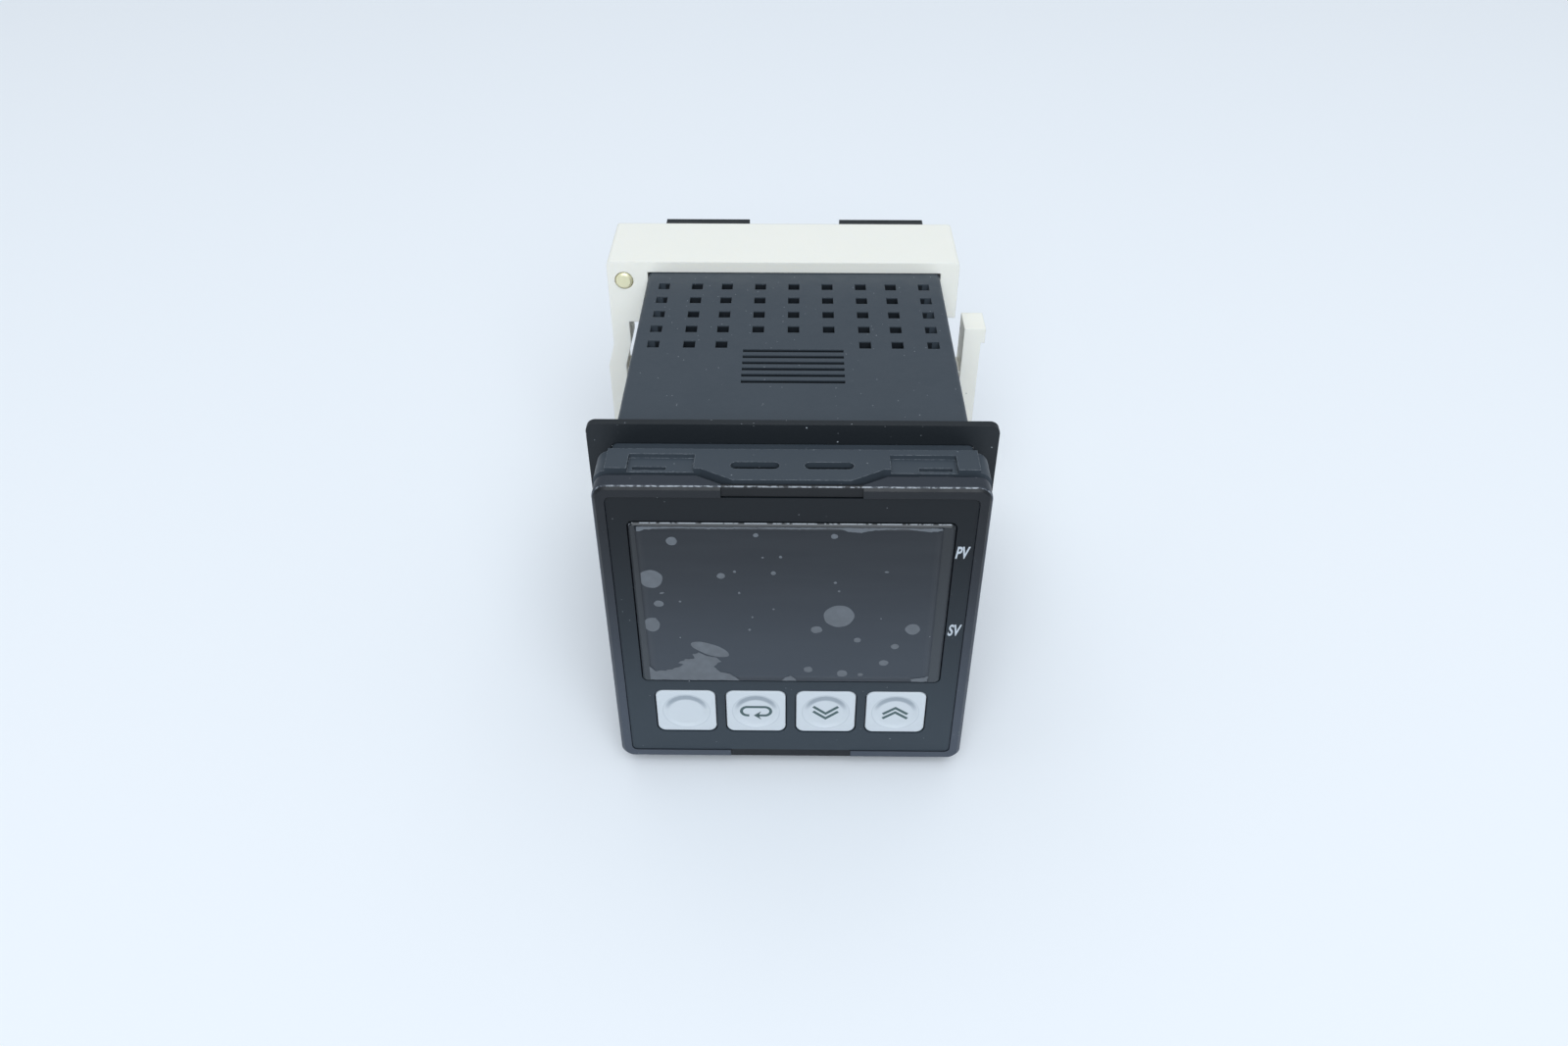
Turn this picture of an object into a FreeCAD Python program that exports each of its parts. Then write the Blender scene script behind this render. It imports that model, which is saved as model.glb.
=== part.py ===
import FreeCAD, Part
import math
import os
from types import SimpleNamespace

import Sketcher

# A panel-mounted temperature controller of the 48 x 48 mm size.
# Frame: X to the right, Y to the rear, Z up. The origin is the centre of the gasket's rear face,
# which is the plane of the panel that the controller is fixed in. Lengths are in millimetres.

SIZES = {
    # moulded bezel
    "cover_width": 47.5,
    "cover_depth": 2.4,
    "cover_corner": 1.8,
    "cover_edge": 0.45,
    "rim_width": 1.5,
    "sheet_recess": 0.45,
    "sheet_corner": 0.8,
    "skirt_wall": 1.4,
    "skirt_length": 7.0,
    "post_size": 1.4,
    "assembly_gap": 0.1,
    # openings in the bezel's upper and lower edge for the housing's tongues
    "notch_front_width": 16.8,
    "notch_rear_width": 22.8,
    "notch_lip": 0.7,
    "notch_inset": 0.3,
    # hooks on the rear of the bezel
    "hook_width": 4.0,
    "hook_reach": 0.8,
    "hook_height": 1.0,
    "hook_centre": 17.2,
    # printed front sheet
    "sheet_thick": 0.3,
    # window plate and its film
    "window_width": 39.4,
    "window_height": 26.8,
    "window_centre": 5.0,
    "window_proud": 0.3,
    "window_thick": 1.3,
    "window_gap": 0.2,
    "window_ledge": 1.3,
    "window_corner": 0.6,
    "window_bevel": 0.25,
    "film_side": 1.1,
    "film_end": 0.3,
    "film_thick": 0.1,
    "film_shift": 0.35,
    # keys
    "key_width": 8.1,
    "key_height": 7.9,
    "key_corner": 1.1,
    "key_pitch": 9.52,
    "key_row": 14.45,
    "key_plate": 0.8,
    "key_gap": 0.15,
    "key_travel": 0.3,
    "dish_diameter": 6.5,
    "dish_slope": 0.9,
    "dish_depth": 0.25,
    "key_stem_width": 2.6,
    # switches behind the keys
    "switch_width": 6.0,
    "switch_height": 3.5,
    "switch_stem_width": 3.0,
    "switch_stem_proud": 0.8,
    "switch_stem_depth": 0.4,
    # housing
    "case_width": 45.2,
    "case_wall": 1.8,
    "case_length": 63.2,
    "case_corner": 0.8,
    "flange_width": 48.0,
    "flange_depth": 4.1,
    "flange_corner": 1.8,
    "flange_groove": 1.1,
    "plateau_width": 45.0,
    "plateau_rise": 0.4,
    "tongue_front_width": 14.1,
    "tongue_root_width": 22.0,
    "tongue_reach": 2.26,
    "tongue_gap": 0.2,
    "recess_width": 8.0,
    "recess_centre": 15.8,
    "recess_length": 2.95,
    "recess_depth": 0.6,
    "slit_front": 0.5,
    "slit_width": 0.6,
    "slit_depth": 1.3,
    "slot_length": 5.9,
    "slot_width": 1.4,
    "slot_centre": 4.45,
    "slot_depth": 1.2,
    # vents, through the upper and the lower wall
    "vent_width": 1.65,
    "vent_length": 1.95,
    "vent_pitch": 5.05,
    "vent_narrowing": 0.5,
    "vent_row_pitch": 4.36,
    "vent_front": 23.75,
    "louvre_width": 14.0,
    "louvre_slot": 0.8,
    "louvre_pitch": 1.63,
    "louvre_front": 13.9,
    # ratchet racks in the side walls
    "rack_height": 14.0,
    "rack_depth": 0.9,
    "rack_front": 5.0,
    "rack_length": 54.0,
    "tooth_pitch": 2.0,
    "tooth_land": 0.2,
    # guide rails for the side boards
    "rail_thick": 0.8,
    "rail_height": 2.8,
    "rail_front": 4.0,
    "rail_length": 50.0,
    # gasket, slipped back from the flange
    "gasket_width": 51.2,
    "gasket_thick": 1.0,
    "gasket_corner": 1.2,
    "gasket_setback": 3.0,
    # circuit boards
    "board_thick": 1.6,
    "board_face": 16.5,
    "board_height": 37.0,
    "board_rear": 55.0,
    "board_gap": 0.2,
    "display_board_width": 38.0,
    # displays and lamps
    "display_width": 36.4,
    "display_clear": 0.2,
    "process_height": 12.0,
    "process_centre": 11.6,
    "setpoint_height": 9.0,
    "setpoint_centre": -3.1,
    "digit_pitch": 8.6,
    "segment_width": 0.8,
    "segment_depth": 0.3,
    "lamp_width": 2.4,
    "lamp_height": 1.1,
    "lamp_pitch": 5.2,
    "lamp_centre": 3.5,
    # pin strips between the boards
    "strip_size": 2.5,
    "strip_length": 30.0,
    # terminal block
    "base_thick": 3.0,
    "column_depth": 8.0,
    "column_outer": 22.0,
    "column_inner": 7.7,
    "column_height": 40.0,
    "terminal_pitch": 7.5,
    "bay_height": 6.6,
    "bay_depth": 5.5,
    "bay_wall": 1.2,
    # terminals
    "contact_thick": 0.8,
    "contact_width": 3.2,
    "contact_gap": 0.1,
    "contact_reach": 5.0,
    "washer_width": 6.2,
    "washer_thick": 1.0,
    "terminal_screw_diameter": 3.4,
    "terminal_screw_gap": 0.2,
    "terminal_screw_length": 5.4,
    "terminal_head_diameter": 6.0,
    "terminal_head_height": 2.2,
    # mounting adapter
    "adapter_depth": 14.0,
    "adapter_front": 45.6,
    "adapter_gap": 0.1,
    "adapter_wall": 1.75,
    "adapter_corner": 0.6,
    "arm_stand": 3.5,
    "arm_thick": 2.8,
    "corner_wall": 2.85,
    "corner_height": 9.4,
    "block_height": 10.4,
    "lever_depth": 5.4,
    "lever_slot": 1.0,
    "lever_stand": 1.1,
    "lever_bend": 4.0,
    "lever_root": 4.0,
    "lever_clear": 2.0,
    "knob_height": 2.5,
    "knob_reach": 0.6,
    "pawl_height": 10.0,
    "pawl_depth": 4.5,
    "pawl_gap": 0.1,
    # clamp screws
    "clamp_diameter": 2.6,
    "clamp_gap": 0.15,
    "clamp_inset": 2.55,
    "clamp_drop": 3.2,
    "clamp_proud": 0.3,
    "clamp_head_diameter": 4.4,
    "clamp_head_height": 1.4,
    "clamp_stand": 1.1,
    "drive_width": 0.8,
    "drive_length": 3.2,
    "drive_depth": 0.9,
    # parts on the boards
    "relay_length": 20.3,
    "relay_width": 10.0,
    "relay_height": 15.3,
    "relay_front": 22.0,
    "relay_centre": 8.0,
    "relay_corner": 0.5,
    "transformer_length": 18.0,
    "transformer_width": 16.0,
    "transformer_height": 15.0,
    "transformer_front": 8.0,
    "transformer_base": 3.5,
    "transformer_core": 5.0,
    "filter_diameter": 10.0,
    "filter_height": 15.5,
    "filter_front": 34.0,
    "filter_centre": 10.0,
    "smoothing_diameter": 8.0,
    "smoothing_height": 11.5,
    "smoothing_pitch": 9.5,
    "smoothing_centre": -1.5,
    "can_bevel": 0.5,
    "bridge_length": 6.5,
    "bridge_width": 8.5,
    "bridge_height": 3.4,
    "bridge_front": 42.0,
    "bridge_centre": 10.0,
    "processor_width": 12.0,
    "processor_height": 1.8,
    "processor_front": 4.0,
    "memory_length": 5.0,
    "memory_width": 4.0,
    "memory_height": 1.5,
    "memory_front": 7.5,
    "memory_centre": 12.0,
    "lead_pitch": 1.0,
    "lead_width": 0.4,
    "lead_reach": 1.0,
    "lead_thick": 0.3,
}
VENT_ROWS = 5
LOUVRES = 6
TERMINALS = 5
DIGITS = 4
LAMPS = 6
PAWL_TEETH = 3
PROCESSOR_LEADS = 7
MEMORY_LEADS = 4
MARGIN = 1.0

PLANES = {"front": "XZ_Plane", "top": "XY_Plane", "side": "YZ_Plane"}


class Size:
    """A length with its expression on the sheet and its present value."""

    def __init__(self, text, value):
        self.text = text
        self.value = value

    def __add__(self, other):
        other = as_size(other)
        return Size(f"({self.text} + {other.text})", self.value + other.value)

    def __radd__(self, other):
        return as_size(other) + self

    def __sub__(self, other):
        other = as_size(other)
        return Size(f"({self.text} - {other.text})", self.value - other.value)

    def __rsub__(self, other):
        return as_size(other) - self

    def __mul__(self, other):
        other = as_size(other)
        return Size(f"({self.text} * {other.text})", self.value * other.value)

    def __rmul__(self, other):
        return as_size(other) * self

    def __truediv__(self, other):
        other = as_size(other)
        return Size(f"({self.text} / {other.text})", self.value / other.value)

    def __neg__(self):
        return as_size(0) - self


def as_size(item):
    return item if isinstance(item, Size) else Size(f"{float(item):.6f}", float(item))


doc = FreeCAD.newDocument("controller")
sheet = doc.addObject("Spreadsheet::Sheet", "Sizes")
for row, (alias, number) in enumerate(SIZES.items(), start=1):
    sheet.set(f"A{row}", alias)
    sheet.set(f"B{row}", f"{number}")
    sheet.setAlias(f"B{row}", alias)
doc.recompute()
S = SimpleNamespace(**{alias: Size(f"Sizes.{alias}", number) for alias, number in SIZES.items()})


# ---- modelling helpers ----------------------------------------------------------------------

def bind(item, prop, size):
    item.setExpression(prop, as_size(size).text)


def new_body(label, x=0, y=0, z=0):
    body = doc.addObject("PartDesign::Body", label)
    body.Label = label
    for axis, size in (("x", x), ("y", y), ("z", z)):
        bind(body, f"Placement.Base.{axis}", size)
    return body


def origin_item(body, role):
    return next(item for item in body.Origin.OriginFeatures if item.Role == role)


def new_sketch(body, view, offset):
    """A sketch seen from the front, the top or the side, at this place along the line of sight."""
    sketch = body.newObject("Sketcher::SketchObject", "Sketch")
    sketch.AttachmentSupport = [(origin_item(body, PLANES[view]), "")]
    sketch.MapMode = "FlatFace"
    bind(sketch, "AttachmentOffset.Base.z", -as_size(offset) if view == "front" else offset)
    return sketch


def constrain(sketch, joins, dimensions):
    """Joins end points, and adds dimensions that are bound to the sheet."""
    rules = [Sketcher.Constraint("Coincident", *join) for join in joins]
    rules += [Sketcher.Constraint(kind, *items, size.value) for kind, items, size in dimensions]
    start = sketch.ConstraintCount + len(joins)
    sketch.addConstraint(rules)
    for index, (kind, items, size) in enumerate(dimensions, start=start):
        sketch.setExpression(f"Constraints[{index}]", size.text)


def located(geometry, point, x, y):
    return [("DistanceX", (geometry, point), as_size(x)), ("DistanceY", (geometry, point), as_size(y))]


def vector(x, y):
    return FreeCAD.Vector(as_size(x).value, as_size(y).value, 0)


def line(start, end):
    return Part.LineSegment(vector(*start), vector(*end))


def polygon(*points):
    """Draws a closed outline of straight lines through the points."""
    def draw(sketch):
        count = len(points)
        first = sketch.GeometryCount
        sketch.addGeometry([line(points[i], points[(i + 1) % count]) for i in range(count)], False)
        joins = [(first + i, 2, first + (i + 1) % count, 1) for i in range(count)]
        places = [rule for i in range(count) for rule in located(first + i, 1, *points[i])]
        constrain(sketch, joins, places)
    return draw


def rectangle(left, right, low, high):
    return polygon((left, low), (right, low), (right, high), (left, high))


def centred_square(width):
    return rectangle(-width / 2, width / 2, -width / 2, width / 2)


def rounded_rectangle(left, right, low, high, radius):
    """Draws a rectangle with four equal round corners."""
    sides = [
        ((left + radius, low), (right - radius, low)),
        ((right, low + radius), (right, high - radius)),
        ((right - radius, high), (left + radius, high)),
        ((left, high - radius), (left, low + radius)),
    ]
    centres = [
        (right - radius, low + radius), (right - radius, high - radius),
        (left + radius, high - radius), (left + radius, low + radius),
    ]

    def draw(sketch):
        first = sketch.GeometryCount
        arcs = []
        for i, centre in enumerate(centres):
            ring = Part.Circle(vector(*centre), FreeCAD.Vector(0, 0, 1), radius.value)
            start = (i - 1) * math.pi / 2
            arcs.append(Part.ArcOfCircle(ring, start, start + math.pi / 2))
        sketch.addGeometry([line(*side) for side in sides] + arcs, False)
        joins, rules = [], []
        for i, (start, end) in enumerate(sides):
            rules += located(first + i, 1, *start) + located(first + i, 2, *end)
            joins += [(first + 4 + i, 1, first + i, 2), (first + 4 + i, 2, first + (i + 1) % 4, 1)]
            rules.append(("Radius", (first + 4 + i,), radius))
        constrain(sketch, joins, rules)
    return draw


def rounded_square(width, radius):
    half = width / 2
    return rounded_rectangle(-half, half, -half, half, radius)


def circle(diameter, x=0, y=0):
    def draw(sketch):
        index = sketch.GeometryCount
        sketch.addGeometry(Part.Circle(vector(x, y), FreeCAD.Vector(0, 0, 1), diameter.value / 2), False)
        constrain(sketch, [], located(index, 3, x, y) + [("Radius", (index,), diameter / 2)])
    return draw


def keep(body, feature):
    """Makes the feature the body's result; faces are joined up once, at the body's end."""
    feature.Refine = False
    body.Tip = feature
    return feature


def refine(body):
    body.Tip.Refine = True
    doc.recompute()


def drawn(body, view, start, outlines):
    sketch = new_sketch(body, view, start)
    for outline in outlines:
        outline(sketch)
    return sketch


def extrude(body, view, start, end, *outlines):
    """Adds the outlines' shape from start to end along the line of sight."""
    feature = body.newObject("PartDesign::Pad", "Pad")
    feature.Profile = drawn(body, view, start, outlines)
    bind(feature, "Length", end - start)
    feature.Reversed = view == "front"
    return keep(body, feature)


def cut(body, view, start, end, *outlines):
    """Takes the outlines' shape away from start to end along the line of sight."""
    feature = body.newObject("PartDesign::Pocket", "Pocket")
    feature.Profile = drawn(body, view, start, outlines)
    bind(feature, "Length", end - start)
    feature.Reversed = view != "front"
    return keep(body, feature)


def turned(body, kind, axis, points):
    feature = body.newObject(f"PartDesign::{kind}", kind)
    feature.Profile = drawn(body, "top", as_size(0), [polygon(*points)])
    feature.ReferenceAxis = (origin_item(body, f"{axis}_Axis"), [""])
    feature.Angle = 360
    return keep(body, feature)


def turn(body, axis, *points):
    """Turns an outline drawn from the top about the body's X or Y axis."""
    return turned(body, "Revolution", axis, points)


def groove(body, axis, *points):
    """Takes away what an outline drawn from the top sweeps about the body's X or Y axis."""
    return turned(body, "Groove", axis, points)


def row_pattern(body, axis, pitch, count):
    pattern = body.newObject("PartDesign::LinearPattern", "Row")
    pattern.Direction = (origin_item(body, f"{axis}_Axis"), [""])
    pattern.Mode = "Spacing"
    bind(pattern, "Offset", pitch)
    pattern.Occurrences = count
    return pattern


def repeat(body, features, axis, pitch, count):
    """Copies features in a row."""
    pattern = row_pattern(body, axis, pitch, count)
    pattern.Originals = features
    return keep(body, pattern)


def repeat_grid(body, features, first, second):
    """Copies features in a grid of two rows, each given as its axis, pitch and count."""
    grid = body.newObject("PartDesign::MultiTransform", "Grid")
    grid.Originals = features
    grid.Transformations = [row_pattern(body, *first), row_pattern(body, *second)]
    return keep(body, grid)


def mirror(body, features, plane):
    """Copies features to the other side of an origin plane."""
    copy = body.newObject("PartDesign::Mirrored", "Mirrored")
    copy.Originals = features
    copy.MirrorPlane = (origin_item(body, f"{plane}_Plane"), [""])
    return keep(body, copy)


def mirror_twice(body, features):
    """Copies features to all four quarters, left and right, up and down."""
    copy = body.newObject("PartDesign::MultiTransform", "Quarters")
    steps = []
    for plane in ("YZ", "XY"):
        step = body.newObject("PartDesign::Mirrored", "Mirrored")
        step.MirrorPlane = (origin_item(body, f"{plane}_Plane"), [""])
        steps.append(step)
    copy.Originals = features
    copy.Transformations = steps
    return keep(body, copy)


def half_turn(body, features):
    """Copies features by half a turn about the controller's long axis."""
    copy = body.newObject("PartDesign::PolarPattern", "HalfTurn")
    copy.Originals = features
    copy.Axis = (origin_item(body, "Y_Axis"), [""])
    copy.Angle = 360
    copy.Occurrences = 2
    return keep(body, copy)


def edges_along(shape, axis, test):
    """Names of the straight edges along an axis whose middle passes the test."""
    names = []
    for number, edge in enumerate(shape.Edges, start=1):
        if edge.Curve.TypeId != "Part::GeomLine":
            continue
        direction = edge.tangentAt(edge.FirstParameter)
        if abs(getattr(direction, axis)) > 0.999 and test(edge.CenterOfMass):
            names.append(f"Edge{number}")
    return names


def face_edges(shape, axis, place):
    """Names of the edges that lie in the plane at this place on an axis."""
    names = []
    for number, edge in enumerate(shape.Edges, start=1):
        box = edge.BoundBox
        low, high = getattr(box, f"{axis}Min"), getattr(box, f"{axis}Max")
        if abs(low - place) < 1e-4 and abs(high - place) < 1e-4:
            names.append(f"Edge{number}")
    return names


def dress(body, kind, names, size):
    """A fillet or chamfer on named edges of the body so far."""
    base = body.Tip
    feature = body.newObject(f"PartDesign::{kind}", kind)
    feature.Base = (base, names)
    bind(feature, "Radius" if kind == "Fillet" else "Size", size)
    return keep(body, feature)


# ---- places that several pieces share ---------------------------------------------------------

front = -(S.cover_depth + S.flange_groove + S.flange_depth + S.gasket_setback + S.gasket_thick)
cover_half = S.cover_width / 2
cover_rear = front + S.cover_depth
flange_front = cover_rear + S.flange_groove
flange_rear = flange_front + S.flange_depth
sheet_half = cover_half - S.rim_width
recess_floor = front + S.sheet_recess
sheet_front = recess_floor - S.sheet_thick
window_front = sheet_front - S.window_proud
window_rear = window_front + S.window_thick
skirt_outer = S.case_width - 2 * (S.case_wall + S.assembly_gap)
skirt_inner = skirt_outer - 2 * S.skirt_wall
skirt_rear = cover_rear + S.skirt_length
case_half = S.case_width / 2
case_inner = S.case_width - 2 * S.case_wall
key_front = sheet_front
key_plate_rear = key_front + S.key_plate
key_floor = key_plate_rear + S.key_travel + S.key_gap
display_board_rear = skirt_rear + S.board_gap * 2
display_board_front = display_board_rear - S.board_thick
switch_front = display_board_front - S.switch_height
key_stem_end = switch_front - S.switch_stem_proud
seat = S.case_length + S.column_depth - S.bay_depth
terminal_centre = (S.column_outer + S.column_inner + S.bay_wall) / 2
terminal_bore = S.terminal_screw_diameter + 2 * S.terminal_screw_gap
contact_inner = S.column_inner + S.bay_wall + S.contact_gap
adapter_inner = case_half + S.adapter_gap
adapter_half = adapter_inner + S.adapter_wall
adapter_rear = S.adapter_front + S.adapter_depth
arm_inner = adapter_inner + S.arm_stand
arm_outer = arm_inner + S.arm_thick
clamp_x = arm_outer - S.clamp_inset
clamp_z = adapter_half - S.clamp_drop
KEYS = {"blank": -1.5, "loop": -0.5, "down": 0.5, "up": 1.5}


# ---- front ------------------------------------------------------------------------------------

def front_cover():
    body = new_body("front_cover")
    extrude(body, "front", front, cover_rear, rounded_square(S.cover_width, S.cover_corner))
    refine(body)
    dress(body, "Chamfer", face_edges(body.Tip.Shape, "Y", front.value), S.cover_edge)
    extrude(body, "front", cover_rear, skirt_rear, centred_square(skirt_outer), centred_square(skirt_inner))
    cut(body, "front", front, recess_floor, rounded_square(2 * sheet_half, S.sheet_corner))
    hole_half = S.window_width / 2 + S.window_gap
    hole_low = S.window_centre - S.window_height / 2 - S.window_gap
    hole_high = S.window_centre + S.window_height / 2 + S.window_gap
    cut(body, "front", recess_floor, window_rear,
        rounded_rectangle(-hole_half, hole_half, hole_low, hole_high, S.window_corner + S.window_gap))
    ledge = S.window_ledge + S.window_gap
    cut(body, "front", window_rear, cover_rear,
        rectangle(ledge - hole_half, hole_half - ledge, hole_low + ledge, hole_high - ledge))
    first = -1.5 * S.key_pitch
    room = S.key_width / 2 + S.key_gap
    pocket = cut(body, "front", recess_floor, key_floor,
                 rectangle(first - room, first + room,
                           -S.key_row - S.key_height / 2 - S.key_gap,
                           -S.key_row + S.key_height / 2 + S.key_gap))
    bore_half = S.key_stem_width / 2 + S.key_gap
    bore = cut(body, "front", key_floor, cover_rear,
               rectangle(first - bore_half, first + bore_half,
                         -S.key_row - bore_half, -S.key_row + bore_half))
    repeat(body, [pocket, bore], "X", S.key_pitch, len(KEYS))
    notch = cut(body, "top", sheet_half, cover_half + MARGIN,
                polygon((-S.notch_rear_width / 2, cover_rear),
                        (-S.notch_front_width / 2, front + S.notch_lip),
                        (S.notch_front_width / 2, front + S.notch_lip),
                        (S.notch_rear_width / 2, cover_rear)))
    inset = cut(body, "front", front, front + S.notch_inset,
                rectangle(-S.notch_front_width / 2, S.notch_front_width / 2, sheet_half, cover_half + MARGIN))
    mirror(body, [notch, inset], "XY")
    hook = extrude(body, "front", cover_rear, cover_rear + S.hook_reach,
                   rectangle(S.hook_centre - S.hook_width / 2, S.hook_centre + S.hook_width / 2,
                             sheet_half, sheet_half + S.hook_height))
    post = extrude(body, "front", cover_rear, display_board_front,
                   rectangle(skirt_inner / 2 - S.post_size, skirt_inner / 2,
                             skirt_inner / 2 - S.post_size, skirt_inner / 2))
    mirror_twice(body, [hook, post])
    return body


def key_sheet():
    body = new_body("key_sheet")
    half = sheet_half - S.assembly_gap
    window_half = S.window_width / 2 + S.window_gap
    extrude(body, "front", sheet_front, recess_floor,
            rounded_rectangle(-half, half, -half, half, S.sheet_corner - S.assembly_gap),
            rounded_rectangle(-window_half, window_half,
                              S.window_centre - S.window_height / 2 - S.window_gap,
                              S.window_centre + S.window_height / 2 + S.window_gap,
                              S.window_corner + S.window_gap))
    first = -1.5 * S.key_pitch
    room = S.key_width / 2 + S.key_gap
    opening = cut(body, "front", sheet_front, recess_floor,
                  rounded_rectangle(first - room, first + room,
                                    -S.key_row - S.key_height / 2 - S.key_gap,
                                    -S.key_row + S.key_height / 2 + S.key_gap, S.key_corner + S.key_gap))
    repeat(body, [opening], "X", S.key_pitch, len(KEYS))
    return body


def display_window():
    body = new_body("display_window")
    extrude(body, "front", window_front, window_rear,
            rounded_rectangle(-S.window_width / 2, S.window_width / 2,
                              S.window_centre - S.window_height / 2,
                              S.window_centre + S.window_height / 2, S.window_corner))
    refine(body)
    dress(body, "Chamfer", face_edges(body.Tip.Shape, "Y", window_front.value), S.window_bevel)
    return body


def protective_film():
    body = new_body("protective_film")
    side = S.window_width / 2 - S.film_side
    end = S.window_height / 2 - S.film_end
    extrude(body, "front", window_front - S.film_thick, window_front,
            rectangle(-side - S.film_shift, side - S.film_shift,
                      S.window_centre - end, S.window_centre + end))
    return body


def key(name, step):
    """A key with a round dished face and the square stem that reaches its switch."""
    body = new_body(f"key_{name}", x=step * S.key_pitch, z=-S.key_row)
    extrude(body, "front", key_front, key_plate_rear,
            rounded_rectangle(-S.key_width / 2, S.key_width / 2, -S.key_height / 2, S.key_height / 2,
                              S.key_corner))
    extrude(body, "front", key_plate_rear, key_stem_end, centred_square(S.key_stem_width))
    radius = S.dish_diameter / 2
    floor = key_front + S.dish_depth
    groove(body, "Y", (0, floor), (radius - S.dish_slope, floor), (radius, key_front),
           (radius, key_front - MARGIN), (0, key_front - MARGIN))
    return body


def switch_stem(name, step):
    body = new_body(f"switch_stem_{name}", x=step * S.key_pitch, z=-S.key_row)
    extrude(body, "front", key_stem_end, switch_front + S.switch_stem_depth,
            centred_square(S.switch_stem_width))
    return body


def key_switches():
    body = new_body("key_switches")
    first = -1.5 * S.key_pitch
    half = S.switch_width / 2
    base = extrude(body, "front", switch_front, display_board_front,
                   rectangle(first - half, first + half, -S.key_row - half, -S.key_row + half))
    bore_half = S.switch_stem_width / 2 + S.key_gap
    bore = cut(body, "front", switch_front,
               switch_front + S.switch_stem_depth + S.key_travel + S.key_gap,
               rectangle(first - bore_half, first + bore_half,
                         -S.key_row - bore_half, -S.key_row + bore_half))
    repeat(body, [base, bore], "X", S.key_pitch, len(KEYS))
    return body


# ---- housing ----------------------------------------------------------------------------------

def housing():
    body = new_body("housing")
    extrude(body, "front", flange_rear, S.case_length,
            rounded_square(S.case_width, S.case_corner), centred_square(case_inner))
    flange_half = S.flange_width / 2
    low_half = flange_half - S.plateau_rise
    extrude(body, "front", flange_front, flange_rear,
            rounded_rectangle(-flange_half, flange_half, -low_half, low_half, S.flange_corner),
            centred_square(case_inner))
    plateau = extrude(body, "front", flange_front, flange_rear,
                      rectangle(-S.plateau_width / 2, S.plateau_width / 2, case_half, flange_half))
    tongue = extrude(body, "top", sheet_half + S.tongue_gap, flange_half,
                     polygon((-S.tongue_root_width / 2, flange_front + S.slot_width / 2),
                             (-S.tongue_root_width / 2, flange_front),
                             (-S.tongue_front_width / 2, flange_front - S.tongue_reach),
                             (S.tongue_front_width / 2, flange_front - S.tongue_reach),
                             (S.tongue_root_width / 2, flange_front),
                             (S.tongue_root_width / 2, flange_front + S.slot_width / 2)))
    mirror(body, [plateau, tongue], "XY")
    housing_recesses(body, flange_half)
    housing_rails(body)
    housing_vents(body)
    housing_racks(body)
    return body


def housing_recesses(body, flange_half):
    """Pockets and slits in the flange's upper and lower edge, beside the tongues."""
    recess = cut(body, "top", flange_half - S.recess_depth, flange_half + MARGIN,
                 rectangle(S.recess_centre - S.recess_width / 2, S.recess_centre + S.recess_width / 2,
                           flange_front, flange_front + S.recess_length))
    slit = cut(body, "top", flange_half - S.slit_depth, flange_half + MARGIN,
               rectangle(S.hook_centre - S.hook_width / 2, S.hook_centre + S.hook_width / 2,
                         flange_front + S.slit_front, flange_front + S.slit_front + S.slit_width))
    slot = cut(body, "top", flange_half - S.slot_depth, flange_half + MARGIN,
               rounded_rectangle(S.slot_centre - S.slot_length / 2, S.slot_centre + S.slot_length / 2,
                                 flange_front, flange_front + S.slot_width, S.slot_width * 0.499))
    mirror_twice(body, [recess, slit, slot])


def housing_vents(body):
    """Air holes and louvres, cut right through the upper and the lower wall."""
    def opening(x, y, width, length):
        return rectangle(x - width / 2, x + width / 2, y - length / 2, y + length / 2)

    def hole(x, y):
        return opening(x, y, S.vent_width, S.vent_length)

    def louvre(y):
        return opening(as_size(0), y, S.louvre_width, S.louvre_slot)

    inner = [step * S.vent_pitch for step in range(-2, 3)]
    outer = [3 * S.vent_pitch - S.vent_narrowing, 4 * S.vent_pitch - S.vent_narrowing]
    outer += [-x for x in outer]
    ends = [inner[0], inner[-1]]
    low, high = -case_half - MARGIN, case_half + MARGIN
    cut(body, "top", low, high,
        *[hole(x, S.vent_front) for x in ends + outer],
        *[louvre(S.louvre_front + step * S.louvre_pitch) for step in range(LOUVRES)])
    full_row = cut(body, "top", low, high, *[hole(x, S.vent_front + S.vent_row_pitch) for x in inner + outer])
    repeat(body, [full_row], "Y", S.vent_row_pitch, VENT_ROWS - 1)


def housing_racks(body):
    """A sunk saw-tooth rack in each side wall, its tips level with the wall."""
    half = S.rack_height / 2
    floor = case_half - S.rack_depth
    ramp_end = S.rack_front + S.tooth_pitch - S.tooth_land

    def gap(side):
        outside = side * (case_half + MARGIN)
        return polygon((side * floor, S.rack_front), (outside, S.rack_front),
                       (outside, ramp_end), (side * case_half, ramp_end))

    gaps = cut(body, "top", -half, half, gap(-1), gap(1))
    repeat(body, [gaps], "Y", S.tooth_pitch, int(S.rack_length.value / S.tooth_pitch.value))


def housing_rails(body):
    """Rails inside the upper and lower wall that guide the side boards."""
    inner = case_inner / 2
    near = S.board_face - S.board_gap
    far = S.board_face + S.board_thick + S.board_gap
    for start, end in ((near - S.rail_thick, near), (far, far + S.rail_thick)):
        rail = extrude(body, "front", S.rail_front, S.rail_front + S.rail_length,
                       rectangle(start, end, inner - S.rail_height, inner + S.case_wall / 4))
        mirror_twice(body, [rail])


def gasket():
    body = new_body("gasket")
    extrude(body, "front", -S.gasket_thick, as_size(0),
            rounded_square(S.gasket_width, S.gasket_corner),
            rounded_square(S.case_width + 2 * S.assembly_gap, S.case_corner + S.assembly_gap))
    return body


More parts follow.
